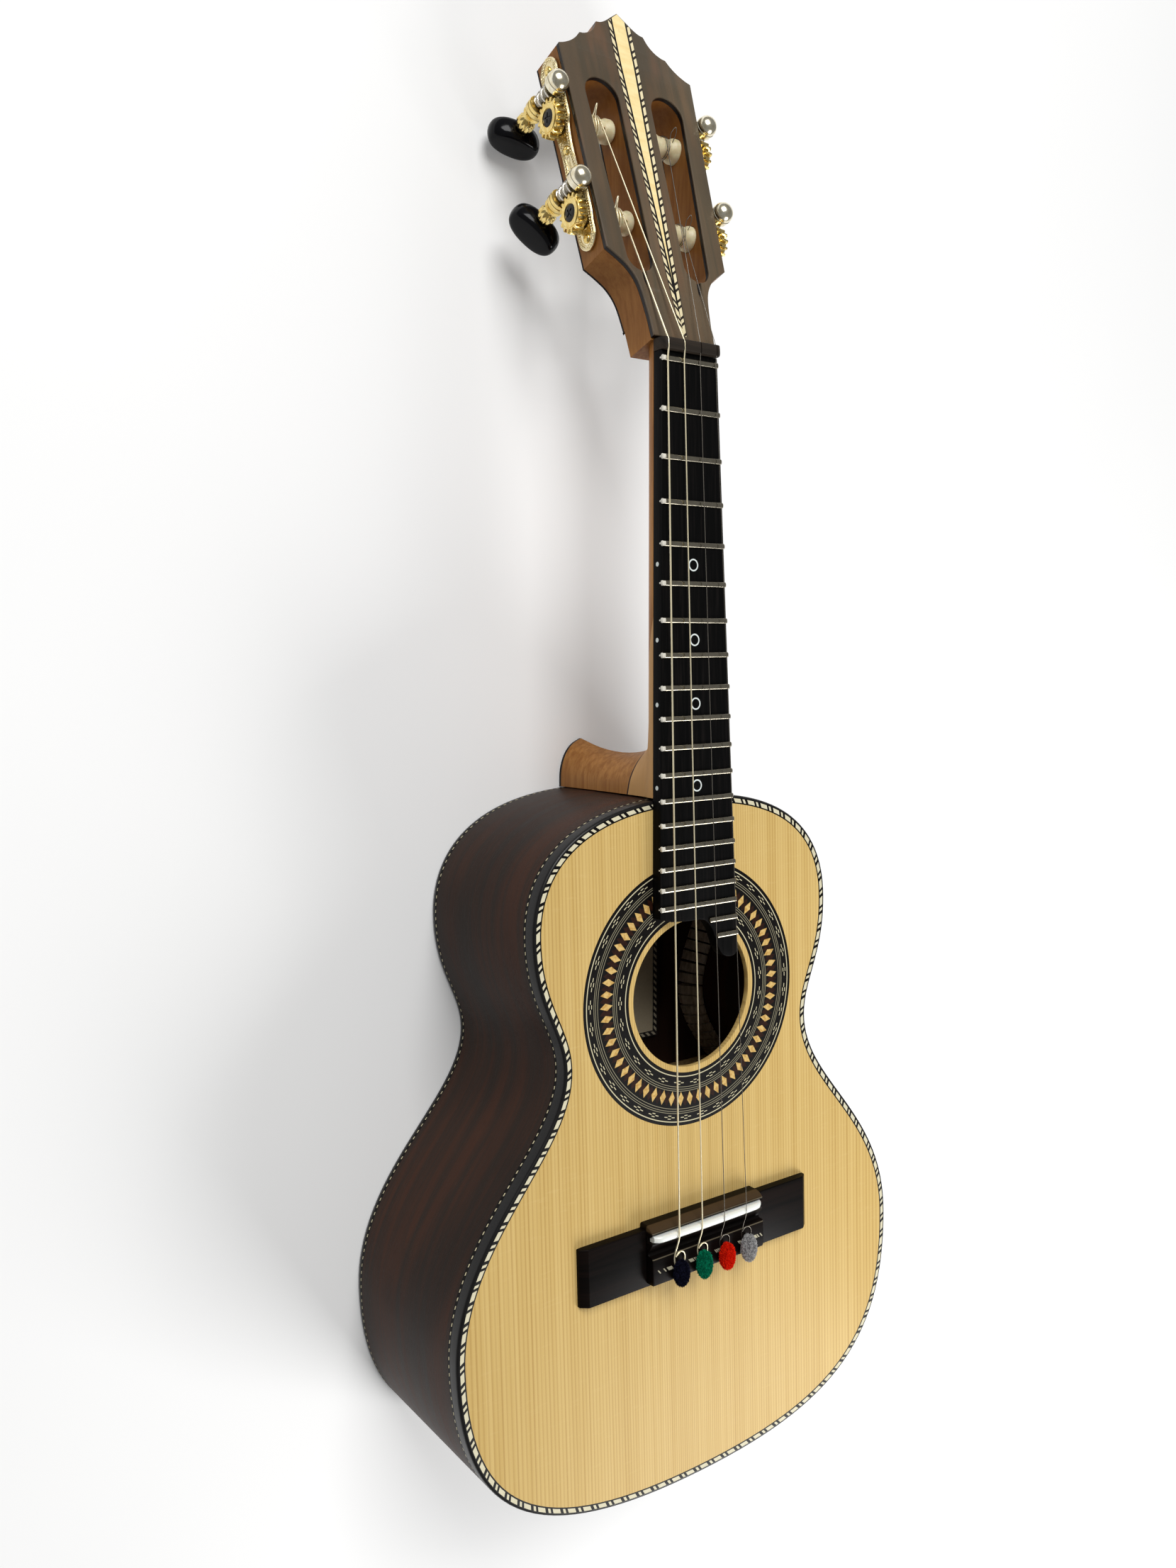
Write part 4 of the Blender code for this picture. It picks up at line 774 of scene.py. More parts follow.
def roller_place(side, row):
    """z points out of the head along a roller, x along the head toward its tip."""
    turn = Matrix(((0, 0, side, 0), (1, 0, 0, 0), (0, side, 0, 0), (0, 0, 0, 1)))
    return machine(side) @ moved(0.0, row, MACHINE_H) @ turn


def roller_reach(row):
    """The length of a roller, from the side of the head to just short of the wood between the slots."""
    return HEAD_HALF + row * math.sin(math.radians(HEAD_SPLAY)) - ROLLER_STOP


def lathe(profile, steps, place=PLAIN):
    """Turns a profile of radius and height about z; it starts and ends on the axis."""
    points, faces = skin([[(x, y, z) for x, y in circle(max(r, 0.0005), steps)] for r, z in profile])
    return [place @ Vector(p) for p in points], faces


def string_touch(number):
    """Where a string reaches its roller, its direction there, both in metres, and the turn."""
    side, row = STRING_ROW[number]
    place = roller_place(side, row)
    nut = MAKER @ Vector((AT_NUT * STRING_X[number], NUT_BACK, 6.7))
    near = place.inverted() @ nut
    radius = WAIST_RADIUS + STRING_THICK[number] / 2
    turn = math.atan2(near.y * side, near.x) - math.acos(radius / math.hypot(near.x, near.y))
    touch = place @ Vector((radius * math.cos(turn), side * radius * math.sin(turn), WAIST_Z))
    return touch, (touch - nut).normalized(), turn


def slot_outline(side):
    """A string slot: a half circle at each end, at the nut and at the tip."""
    return [(side * (x + radius * a), s + radius * b)
            for x, s, radius, start in ((14.2, 37.5, 6.4, 180.0), (16.3, 106.0, 8.2, 0.0))
            for a, b in arc(start, start + 180.0, 20)]


def prism(outline, low, high):
    return skin([[(x, y, z) for x, y in outline] for z in (low, high)])


def two_sided(half):
    """Closes a right half outline, which ends on the middle line, with its mirror image."""
    return half + [(-x, y) for x, y in reversed(half) if x > 0.0]


def head_outline(start):
    """Waist curve from the nut, straight sides, then the three scallops of the crown."""
    half = flow([start, (15.7, 14.0), (17.2, 24.8), (20.2, 31.0), (24.5, 35.0), (29.6, 38.5)], 5)
    half.append((33.0, 125.0))
    for scallop in (((33.0, 125.0), (30.4, 125.9), (27.0, 127.7), (23.9, 130.2), (21.5, 133.0)),
                    ((21.5, 133.0), (19.2, 133.4), (16.2, 134.9), (13.6, 137.5), (11.8, 140.9)),
                    ((11.8, 140.9), (9.4, 141.4), (6.6, 143.0), (3.4, 145.5), (0.0, 148.1))):
        half += flow(scallop, 4)[1:]
    return two_sided(half)


def joined(*shapes):
    points, faces = [], []
    for shape_points, shape_faces in shapes:
        faces += [tuple(i + len(points) for i in face) for face in shape_faces]
        points += list(shape_points)
    return points, faces


def file_cuts():
    """Round files laid along the strings where they drop from the nut into the slots."""
    cuts = []
    for number in STRING_X:
        touch, direction, _ = string_touch(number)
        back = HEAD.inverted()
        touch, direction = back @ touch, (back.to_3x3() @ direction).normalized()
        start = touch - direction * (touch.y / direction.y - 12.0)
        aim = direction.to_track_quat("Z", "Y").to_matrix().to_4x4()
        cuts.append(lathe([(0.0, 0.0), (1.15, 0.0), (1.15, 46.0), (0.0, 46.0)], 20,
                          moved(*start) @ aim))
    return joined(*cuts)


def carve(base, smooth, *steps):
    """Joins solids to a piece or cuts them out of it, clears them away and eases the result."""
    for operation, tool in steps:
        step = base.modifiers.new(tool.name, "BOOLEAN")
        step.operation, step.solver, step.object = operation, "EXACT", tool
    graph = bpy.context.evaluated_depsgraph_get()
    mesh = bpy.data.meshes.new_from_object(base.evaluated_get(graph))
    base.modifiers.clear()
    base.data = mesh
    for _, tool in steps:
        bpy.data.objects.remove(tool)
    close_up(base.data, smooth)


def board_half(y):
    """Half the width of neck and fretboard, 14 mm at the nut and growing toward the body."""
    return 14.0 + 4.6 * (SCALE - y) / 170.0


cedar_finish = Finish("oiled_cedar", Specular_IOR_Level=0.12)
x, y, z = cedar_finish.axes()
grain = cedar_finish.grain(x * 1.2, y * 0.05, z * 1.2, 0.4, 4.0, 0.6, 0.2)
pores = cedar_finish.grain(x * 2.4, y * 0.10, z * 2.4, 1.1, 2.0, 0.6)
patches = cedar_finish.clouds(cedar_finish.spot(), 0.03, 3.0)
tone = cedar_finish.mix(grain.rise(0.30, 0.70), colour(176, 122, 62), colour(146, 94, 42))
tone = tone.mix(patches.rise(0.45, 0.7) * 0.5, colour(134, 82, 36))
tone = tone.mix(pores.rise(0.58, 0.72) * 0.35, colour(92, 54, 28))
# Painted shade: the cedar of the head, beyond the nut, is painted darker.
tone = tone.mix(y.rise(336.0, 352.0) * 0.5, colour(106, 66, 32))
above_joint = z + 22.0 - (y - 169.0) * 0.30
golden = above_joint.rise(0.0, 0.4) * (1.0 - y.rise(290.0, 335.0))
glue_line = above_joint.band(0.0, 0.5, 0.12) * (1.0 - y.rise(215.0, 216.0))
tone = tone.mix(golden * 0.7, colour(204, 160, 104))
tone = tone.mix(glue_line, colour(48, 24, 14))
cedar_finish.coat(tone, 0.32 + 0.16 * grain, pores, 0.02, 0.4)
HEAD_THICK, PLATE_THICK, CAP_THICK = 16.0, 2.2, 1.4
# The shaft is a half oval in section. Its power, slim, is under 1 at the heel, where it is fuller.
shaft = []
for k in range(25):
    y = JOINT_Y + 176.1 * k / 24
    deep, half = 16.0 - 2.4 * k / 24, board_half(y)
    slim = 0.85 + 0.4 * min((y - 162.0) / 36.0, 1.0)
    shaft.append([(half * math.copysign(abs(a) ** slim, a), y, -deep * max(b, 0.0) ** slim)
                  for a, b in arc(0.0, 180.0, 24)])
# The rise is 0 at the heel cap and 1 under the fretboard. The heel reaches long along the neck and
# half to each side.
heel, arch = [], flow([(1.0, 0.0), (0.97, 0.35), (0.78, 0.66), (0.44, 0.88), (0.0, 1.0)], 4)
arch[0], arch[-1] = (1.0, 0.0), (0.0, 1.0)
for k in range(15):
    rise = (k / 14) ** 0.8
    long = 21.0 - 22.0 * rise * (1.0 - rise) + 6.0 * rise ** 5 + 18.0 * rise ** 14
    half = 11.0 + 6.3 * rise ** 1.5
    outline = two_sided([(half * a, JOINT_Y + long * b) for a, b in arch])
    heel.append([(x, y, back_z(y) + CAP_THICK + (-5.4 - back_z(y)) * rise) for x, y in outline])
core = prism(head_outline((15.2, 3.2)), -HEAD_THICK, -PLATE_THICK)
neck = make("carved_neck", skin(shaft), MAKER, cedar_finish)
bores = []
for side, row in STRING_ROW.values():
    floor_z = -roller_reach(row) - BORE_LONG
    bore = [(0.0, 2.0), (5.3, 2.0), (5.3, -12.0), (2.5, -12.0), (2.5, floor_z), (0.0, floor_z)]
    bores.append(lathe(bore, 24, HEAD.inverted() @ roller_place(side, row)))
slots = joined(*(prism(slot_outline(side), -20.0, 2.0) for side in (1, -1)))
carve(neck, 30.0, ("UNION", make("heel", skin(heel), MAKER, cedar_finish)), *(
    (operation, make(name, shape, HEAD, cedar_finish)) for operation, name, shape in (
        ("UNION", "head_core", core), ("DIFFERENCE", "slots", slots),
        ("DIFFERENCE", "file_cuts", file_cuts()), ("DIFFERENCE", "roller_bores", joined(*bores)))))
fit(neck, "cedar", "neck")

# Heel cap
# A thin ebony plate glued under the heel and carved with it, so that it carries the outline of
# the heel down to the level of the back.
ebony_finish = Finish("oiled_ebony", Specular_IOR_Level=0.12)
x, y, z = ebony_finish.axes()
grain = ebony_finish.grain(x * 1.5, y * 0.06, z * 1.5, 0.6, 4.0, 0.6)
tone = ebony_finish.mix(grain.rise(0.4, 0.75), colour(14, 13, 14), colour(34, 31, 30))
ebony_finish.coat(tone, 0.28 + 0.2 * grain)
foot = on_back([(x, y) for x, y, _ in heel[0]], 0.0, CAP_THICK)
fit(make("ebony_heel_cap", foot, MAKER, ebony_finish), "ebony", "heel_cap")

# Fretboard
# A tapered ebony board with its end scooped round the sound hole. Four mother-of-pearl rings
# are inlaid down its middle and small white dots let into its left edge.
BOARD_TOP, BOARD_END, BOARD_TONGUE, INLAY_RADIUS = 5.0, 342.9, 123.6, 2.15
fretboard_finish = Finish("fretboard_ebony", Specular_IOR_Level=0.04)
x, y, z = fretboard_finish.axes()
grain = fretboard_finish.grain(x * 1.6, y * 0.05, z * 1.6, 0.7, 5.0, 0.65)
pores = fretboard_finish.grain(x * 3.0, y * 0.2, z, 1.3, 2.0, 0.6)
tone = fretboard_finish.mix(grain.rise(0.45, 0.8), colour(9, 9, 9), colour(25, 22, 21))
pearl = fretboard_finish.clouds(fretboard_finish.spot(), 1.5, 3.0)
shell = fretboard_finish.mix(pearl, colour(236, 240, 236), colour(196, 206, 204))
for inlay in (262.1, 232.9, 207.8, 175.3):
    away = y - inlay
    ring = ((x * x + away * away) ** 0.5).band(INLAY_RADIUS, 0.28)
    drop = z - 2.6
    dot = ((drop * drop + away * away) ** 0.5).band(0.0, 0.9) * x.sum("LESS_THAN", -10.0)
    tone = tone.mix((ring + dot).clamp(), shell)
fretboard_finish.coat(tone, 0.34 + 0.18 * grain, pores, 0.03, 0.4)
scoop = flow([(-14.0, 121.9), (-6.0, 121.3), (1.0, 121.1), (4.1, 119.7), (6.6, 116.6), (8.2, 113.0),
              (9.8, 108.6), (12.0, 105.4), (15.0, 104.0), (18.4, 104.2), (20.25, 106.0)], 5)
at_end = board_half(BOARD_END)
outline = [(-at_end, BOARD_END), (-19.9, BOARD_TONGUE)] + scoop + [(at_end, BOARD_END)]
fit(cut_board("ebony_fretboard", [outline], BOARD_TOP, BOARD_TOP, MAKER, fretboard_finish, 0.3),
    "ebony", "fretboard")

# Frets
# Nineteen bars of nickel silver and the zero fret, pressed into sawn slots, filed flush with
# the edges and crowned. The last two are short, on the tongue beside the sound hole.
def fret_y(number):
    return SCALE * 2 ** (-number / 12)


fret_finish = clouded("nickel_silver", colour(176, 170, 154), colour(142, 134, 116), (0.9, 3.0),
                      (0.12, 0.12), Metallic=1.0)
crown = [(1.1 * a, 0.25 + 0.65 * b ** 0.7) for a, b in arc(0.0, 180.0, 10)]
bar = [(y, max(z, 0.25)) for y, z in crown]
rings = [[(x, y * s, z * s) for y, z in [(1.1, -0.6)] + bar + [(-1.1, -0.6)]]
         for x, s in ((-0.5, 0.86), (-0.488, 1.0), (0.488, 1.0), (0.5, 0.86))]
unit = make("fret", skin(rings), PLAIN, fret_finish, 50.0)
places = []
for number in range(20):
    y = fret_y(number)
    reach = board_half(y) - 0.12
    left = {18: 5.2, 19: 9.0}.get(number, -reach)
    places.append(MAKER @ moved((left + reach) / 2, y, BOARD_TOP)
                  @ Matrix.Diagonal((reach - left, 1.0, 1.0, 1.0)))
fit(set_copies("fret_bars", unit, places, fret_finish), "steel", "fretboard")
fret_end_finish = clouded("fret_end_filler", colour(236, 232, 220), colour(206, 202, 188), (0.9, 2.0),
                          Roughness=0.4)
arch = [(1.05, -0.3)] + [(y * 0.95, z + 0.04) for y, z in crown] + [(-1.05, -0.3)]
cap = [[(x, y * s, z * s) for y, z in arch]
       for x, s in ((-0.95, 0.7), (-0.75, 1.0), (0.75, 1.0), (0.9, 0.8))]
nib = lathe([(0.0, -0.35), (0.4, -0.3), (0.42, 0.1), (0.25, 0.25), (0.0, 0.3)], 12,
            moved(-0.85, 0.0, -0.75) @ turned(-90.0, "Y"))
unit = make("fret_end", joined(skin(cap), nib), PLAIN, fret_end_finish, 50.0)
places = [MAKER @ moved(-board_half(y) + 0.95, y, BOARD_TOP) for y in map(fret_y, range(18))]
fit(set_copies("fret_ends", unit, places, fret_end_finish), "bone", "fretboard")

# Nut
# A dark hardwood bar glued across the end of the fretboard, a little taller than it. Its ends
# are bevelled, and a slot is filed in it for each string.
side_view = [(343.2, 0.2)] + flow([(343.2, 6.4), (343.35, 7.0), (343.9, 7.3), (345.2, 7.35), (346.9, 7.2),
                                   (347.5, 6.9), (NUT_BACK, 6.2)], 2) + [(NUT_BACK, 0.2)]
rings = [[(x, y, z - (tuck if z > BOARD_TOP else 0.0)) for y, z in side_view] for x, tuck in (
    (-14.0, 0.9), (-13.7, 0.3), (-13.3, 0.0), (13.3, 0.0), (13.7, 0.3), (14.0, 0.9))]
nut_finish = Finish("nut_rosewood", Specular_IOR_Level=0.05)
x, y, z = nut_finish.axes()
tone, streaks, _ = rosewood_tones(nut_finish, x, y + z, colour(40, 36, 32), colour(58, 50, 43),
                                  colour(28, 25, 23))
nut_finish.coat(tone, 0.4 + 0.16 * streaks)
nut = make("filed_nut", skin(rings), MAKER, nut_finish, 40.0)
cuts = []
for number, place in STRING_X.items():
    x, half = AT_NUT * place, STRING_THICK[number] / 2 + 0.06
    groove = [(x + half * a, 6.75 + half * b) for a, b in arc(180.0, 360.0, 8)]
    groove += [(x + half, 10.0), (x - half, 10.0)]
    cuts.append(skin([[(x, y, z) for x, z in groove] for y in (342.0, 349.0)]))
carve(nut, 40.0, ("DIFFERENCE", make("nut_cuts", joined(*cuts), MAKER, nut_finish)))
fit(nut, "ebony", "nut")

# Headplate
# A rosewood veneer glued to the face of the head and cut with it, its edges eased and oiled. The
# strings drop through its two slots, past short grooves that are filed for them.
plate_finish = Finish("headplate_rosewood", Specular_IOR_Level=0.25)
x, s, h = plate_finish.axes(HEAD)
tone, streaks, pores = rosewood_tones(plate_finish, s, x, colour(88, 77, 60), colour(108, 88, 66),
                                      colour(68, 59, 47))
blush = plate_finish.grain(x * 0.5, s * 0.12, 4.0, 0.16, 3.0, 0.6)
tone = tone.mix(blush.rise(0.5, 0.75) * 0.5, colour(118, 84, 60))
tone = tone.mix(1.0 - h.rise(-0.7, -0.4), colour(26, 19, 18))
plate_finish.coat(tone, 0.34 + 0.16 * streaks, pores, 0.03, 0.5)
outlines = [head_outline((15.2, 4.0)), slot_outline(1), slot_outline(-1)]
plate = cut_board("rosewood_headplate", outlines, PLATE_THICK, 0.0, HEAD, plate_finish, 0.3)
carve(plate, 30.0, ("DIFFERENCE", make("file_cuts", file_cuts(), HEAD, plate_finish)))
fit(plate, "head_rosewood", "headplate")

# Stripe of the headplate
# A wedge of flamed maple between two ropes of light and dark wood, let in down the middle of
# the headplate and scraped flush with it.
STRIPE_PITCH = 7.4
stripe_finish = Finish("maple_stripe", Specular_IOR_Level=0.3)
x, s, _ = stripe_finish.axes(HEAD)
half = (s * 0.0469 + 1.242).sum("MINIMUM", s * 0.0335 + 1.645).sum("MINIMUM", 5.8)
inward = half - abs(x)
flame = stripe_finish.grain(x * 0.25, s * 1.0, 0.0, 0.35, 4.0, 0.6)
fleck = stripe_finish.grain(x, s * 0.25, 0.0, 0.9, 3.0)
maple = stripe_finish.mix(flame.rise(0.35, 0.68), colour(250, 230, 172), colour(242, 216, 152))
maple = maple.mix(fleck.rise(0.58, 0.78) * 0.25, colour(204, 168, 106))
right_side = x.sum("GREATER_THAN", 0.0)
step = ((s + inward * (1.35 - 0.55 * right_side)) / STRIPE_PITCH).fract() * STRIPE_PITCH
rope = step.band(1.9, 1.5 + 0.25 * right_side, 0.14) + step.band(5.6, 0.62 + 0.15 * right_side, 0.14)
rope = rope * inward.band(1.05, 0.72, 0.1)
edging = stripe_finish.mix(rope, colour(44, 36, 29), colour(236, 222, 180))
edging = edging.mix(inward.rise(1.90, 2.0), colour(16, 12, 11))
tone = stripe_finish.mix(inward.rise(2.60, 2.68), edging, maple)
stripe_finish.coat(tone, 0.28 + 0.14 * flame)
outline = two_sided([(1.5, 5.5), (2.65, 30.0), (5.8, 124.0), (5.8, 142.8), (3.0, 145.2), (0.0, 147.7)])
fit(cut_board("inlaid_stripe", [outline], 0.8, 0.03, HEAD, stripe_finish, 0.02),
    "maple", "head_stripe")

# Rear veneer of the head
# A thin ebony veneer glued to the back of the head, which hides its end grain. The string slots
# are cut through it.
outlines = [head_outline((15.7, 14.0)), slot_outline(1), slot_outline(-1)]
fit(cut_board("dark_rear_veneer", outlines, 1.0, -HEAD_THICK, HEAD, ebony_finish, 0.2),
    "ebony", "rear_veneer")

# Tuner plates
# A pressed brass plate on each side of the head, gold plated: a beaded border round an ogee
# outline, engraved leaves, and three domed screws. It carries the bearings of both worms.
def gold(name, bright, deep, place, engraved=False):
    """Gold plate, rubbed paler in places; engraved adds the cut leaves inside the border."""
    finish = Finish(name, Metallic=1.0)
    x, y, z = finish.axes(place)
    rub = finish.grain(x, y, z, 0.5, 4.0, 0.6)
    tone = finish.mix(rub.rise(0.3, 0.7), bright, deep)
    if engraved:
        bend = finish.grain(x, y, 2.0, 0.16, 2.0)
        leaf = ((abs(y) * 0.9 + x.sum("SINE") * 0.4 + bend * 9.0) * 3.6).sum("SINE")
        field = (1.0 - abs(y).rise(2.6, 3.3)) * (1.0 - abs(x).rise(33.0, 34.0))
        cut = leaf.rise(0.1, 0.8) * field
        tone = tone.mix(cut * 0.4, colour(170, 140, 84))
        finish.bump(1.0 - cut, 0.2, 0.8)
    finish.coat(tone, 0.14 + 0.16 * rub)
    return finish


WORM_OUT, WORM_BESIDE = 5.0, 9.8


def worm_place(side, row):
    """z points out of the front of the head, along a worm shaft."""
    return machine(side) @ moved(side * WORM_OUT, row + WORM_BESIDE, 0.0)


def inset_line(outline, inset):
    """A closed outline moved inward."""
    count, line = len(outline), []
    for k, (x, y) in enumerate(outline):
        (x0, y0), (x1, y1) = outline[k - 1], outline[(k + 1) % count]
        run = Vector((x1 - x0, y1 - y0)).normalized()
        line.append((x - run.y * inset, y + run.x * inset))
    return line


def tube(line, radii, steps=8, closed=False):
    """A wire of round section along a line of points in space, with a radius for each point."""
    line = [Vector(p) for p in line]
    count = len(line)
    rings, normal = [], None
    for k, p in enumerate(line):
        before = line[k - 1] if k or closed else p
        after = line[(k + 1) % count] if k + 1 < count or closed else p
        run = (after - before).normalized()
        if normal is None:
            normal = run.orthogonal().normalized()
        normal = (normal - run * normal.dot(run)).normalized()
        side = run.cross(normal)
        rings.append([p + (normal * x + side * y) * radii[k] for x, y in circle(1.0, steps)])
    if closed:
        rings.append(rings[0])
    return skin(rings, capped=not closed)


def fluted(profile, steps, teeth, place=PLAIN):
    """A turned shape with flutes: each ring has a radius, a height and a depth of flute."""
    flutes = [math.cos(teeth * 2 * math.pi * k / steps) for k in range(steps)]
    rings = [[((radius + depth * flute) * x, (radius + depth * flute) * y, z)
              for flute, (x, y) in zip(flutes, circle(1.0, steps))] for radius, z, depth in profile]
    points, faces = skin(rings)
    return [place @ Vector(p) for p in points], faces


BEAD_PITCH = 1.1
half = flow([(-41.0, 0.0), (-40.2, 2.4), (-38.2, 4.6), (-35.6, 5.5), (-32.0, 5.6), (-28.5, 6.2), (-26.0, 6.4),
             (-17.0, 6.4), (-14.5, 5.9), (-11.0, 4.7), (-6.0, 4.0), (-1.0, 3.8), (4.0, 4.0), (9.0, 4.7),
             (12.0, 5.9), (14.5, 6.4), (23.5, 6.4), (26.5, 6.1), (30.0, 5.6), (33.5, 5.6), (36.4, 5.5),
             (38.8, 4.0), (40.3, 2.0), (41.0, 0.0)], 4)
ogee = [(t, -h) for t, h in half] + [(t, h) for t, h in reversed(half[1:-1])]
dome = [(0.0, -0.4), (1.9, -0.4), (1.9, -3.3), (4.0, -3.3), (4.2, -3.1), (4.2, -1.2), (4.45, -1.0),
        (4.45, -0.6), (4.25, -0.4)]
dome += flow([(4.3, -0.1), (4.2, 1.0), (3.5, 2.4), (2.3, 3.3), (1.0, 3.75), (0.0, 3.8)], 4)
collar = [(1.9, -14.0, 0.0), (4.0, -14.0, 0.0), (4.2, -14.2, 0.0), (4.2, -15.2, 0.0), (3.95, -15.4, 0.0),
          (3.95, -15.8, 0.0), (4.2, -16.0, 0.0), (4.2, -17.6, 0.0), (3.9, -18.2, 0.0), (3.4, -18.5, 0.0),
          (3.5, -18.6, 0.16), (3.62, -19.0, 0.18), (3.62, -19.8, 0.18), (3.5, -20.2, 0.16),
          (1.9, -20.2, 0.0), (1.9, -14.0, 0.0)]
bead = lathe([(0.46, -0.1), (0.42, 0.14), (0.28, 0.32), (0.0, 0.4)], 8)
screw_head = lathe([(0.0, 0.0), (1.75, 0.0), (1.8, 0.3)]
                   + flow([(1.7, 0.55), (1.35, 0.95), (0.8, 1.2), (0.0, 1.3)], 3), 24)
screw_slot = prism([(-2, -0.16), (2, -0.16), (2, 0.16), (-2, 0.16)], 0.8, 2.0)
for side, name in ((1, "right"), (-1, "left")):
    place, plate = roller_place(side, 0.0), "tuner_plate_" + name
    plate_gold = gold("engraved_gold_" + name, colour(244, 232, 196), colour(222, 204, 152), place, True)
    bright_gold = gold("polished_gold_" + name, colour(244, 222, 154), colour(224, 192, 110), place)
    pale_gold = gold("pale_gold_" + name, colour(242, 236, 216), colour(220, 208, 176), place)
    holes = [circle(2.7, 32, (row, 0.0)) for row in (UPPER_ROW, LOWER_ROW)]
    fit(cut_board("pressed_plate_" + name, [ogee] + holes, 1.0, 1.3, place, plate_gold, 0.3), "gold", plate)
    ridges = [tube([(x, y, 1.3) for x, y in inset_line(ogee, inset)], [0.2] * len(ogee), 8, True)
              for inset in (0.55, 1.95)]
    fit(make("border_ridges_" + name, joined(*ridges), place, plate_gold, 60.0), "gold", plate)
    line = inset_line(ogee, 1.25)
    line.append(line[0])
    trail = lengths_of(line)
    count = round(trail[-1] / BEAD_PITCH)
    places = []
    for k in range(count):
        wanted = trail[-1] * k / count
        i = max(i for i, run in enumerate(trail) if run <= wanted)
        share = (wanted - trail[i]) / (trail[i + 1] - trail[i])
        x, y = Vector(line[i]).lerp(Vector(line[i + 1]), share)
        places.append(place @ moved(x, y, 1.25))
    unit = make("bead", bead, PLAIN, plate_gold, 60.0)
    fit(set_copies("border_beads_" + name, unit, places, plate_gold), "gold", plate)
    unit = make("screw", screw_head, PLAIN, bright_gold)
    carve(unit, 40.0, ("DIFFERENCE", make("screw_slot", screw_slot, PLAIN, bright_gold)))
    places = [place @ moved(t, 0.0, 1.25) @ Matrix.Rotation(t, 4, "Z") for t in (35.5, 1.2, -36.4)]
    fit(set_copies("plate_screws_" + name, unit, places, bright_gold), "gold", plate)
    caps, collars = [], []
    for row in (UPPER_ROW, LOWER_ROW):
        bearing = place.inverted() @ worm_place(side, row)
        caps.append(lathe(dome, 40, bearing))
        points, faces = fluted(collar, 144, 36, bearing)
        collars.append((points, faces[:-2]))
    fit(make("acorn_domes_" + name, joined(*caps), place, pale_gold, 40.0), "gold", plate)
    fit(make("worm_collars_" + name, joined(*collars), place, bright_gold, 40.0), "gold", plate)

# Gears, worms and buttons
# Each worm of bright steel turns a sixteen-tooth brass gear, held on its roller by a black
# cross-slotted screw. The worm shaft ends in a fluted brass ferrule and an oval black button.
steel_finish = clouded("bright_steel", colour(222, 218, 208), colour(176, 170, 158), (0.8, 4.0),
                       (0.14, 0.2), Metallic=1.0)
button_finish = clouded("black_button", colour(6, 6, 8), colour(14, 14, 17), (0.12, 4.0, 0.6),
                        (0.08, 0.14), Specular_IOR_Level=0.16)
screw_finish = clouded("blackened_screw", colour(12, 12, 13), colour(40, 38, 36), (0.9, 3.0),
                       (0.25, 0.2), Metallic=0.6)
TEETH, GEAR_RADIUS, WORM_RADIUS = 16, 6.8, 3.0
SHAFT_RADIUS, THREAD_HALF = 1.6, 5.0
TOOTH_TURN = 2 * math.pi / TEETH
PITCH = GEAR_RADIUS * TOOTH_TURN
BUTTON_TURN = {1: 35.0, 2: 140.0, 3: 166.0, 4: 137.0}


def worm(side):
    """A turned shaft with a spiral ridge, as rings of points whose radius follows the thread."""
    steps = 48
    rings = [[(x, y, z) for x, y in circle(SHAFT_RADIUS, steps)] for z in (-20.5, -13.9)]
    for k in range(101):
        z = -THREAD_HALF + 2 * THREAD_HALF * k / 100
        fade = min(1.0, THREAD_HALF - abs(z))
        ring = []
        for i in range(steps):
            a = 2 * math.pi * i / steps
            phase = z / PITCH - side * (a + math.pi / 2) / (2 * math.pi)
            away = abs(phase - round(phase))
            crest = min(max((0.30 - away) / 0.17, 0.0), 1.0)
            radius = 1.95 + 1.4 * crest * crest * (3 - 2 * crest) * fade
            ring.append((radius * math.cos(a), radius * math.sin(a), MACHINE_H + z))
        rings.append(ring)
    return skin(rings + [[(x, y, z) for x, y in circle(SHAFT_RADIUS, steps)] for z in (-3.6, -0.7)])


def gear(side):
    """Slanted teeth that fit the worm, their corners eased, between two faces."""
    rings = []
    lead = PITCH / (2 * math.pi * WORM_RADIUS)
    tooth = [(-0.5, 0.0), (-0.32, 0.02), (-0.25, 0.3), (-0.18, 0.75), (-0.10, 0.98), (0.10, 0.98),
             (0.18, 0.75), (0.25, 0.3), (0.32, 0.02)]
    for z, ease in ((3.2, 0.25), (3.45, 0.0), (5.0, 0.0), (6.55, 0.0), (6.8, 0.25)):
        slant = side * (z - WORM_OUT) * lead / GEAR_RADIUS
        ring = []
        for k in range(TEETH):
            for share, high in tooth:
                a = (k + 0.5 + share) * TOOTH_TURN + slant
                radius = 5.95 + (1.55 - ease) * high - ease * 0.4
                ring.append((radius * math.cos(a), radius * math.sin(a), z))
        rings.append(ring)
    return skin(rings)


def oval_button(number):
    """Two flat oval faces with a rounded rim, turned about the shaft as it was left."""
    spin = Matrix.Rotation(math.radians(BUTTON_TURN[number]), 2)
    rim_side = flow([(-4.9, 0.02), (-4.75, 0.55), (-4.25, 0.82), (-2.9, 0.95), (0.0, 1.0), (2.9, 0.95),
                     (4.25, 0.82), (4.75, 0.55), (4.9, 0.02)], 4)
    oval = [[math.copysign(abs(v) ** 0.86, v) for v in point] for point in circle(1.0, 64)]
    return skin([[(*(spin @ Vector((11.3 * share * across, y))), -34.6 + 6.6 * share * up)
                  for across, up in oval] for y, share in rim_side])


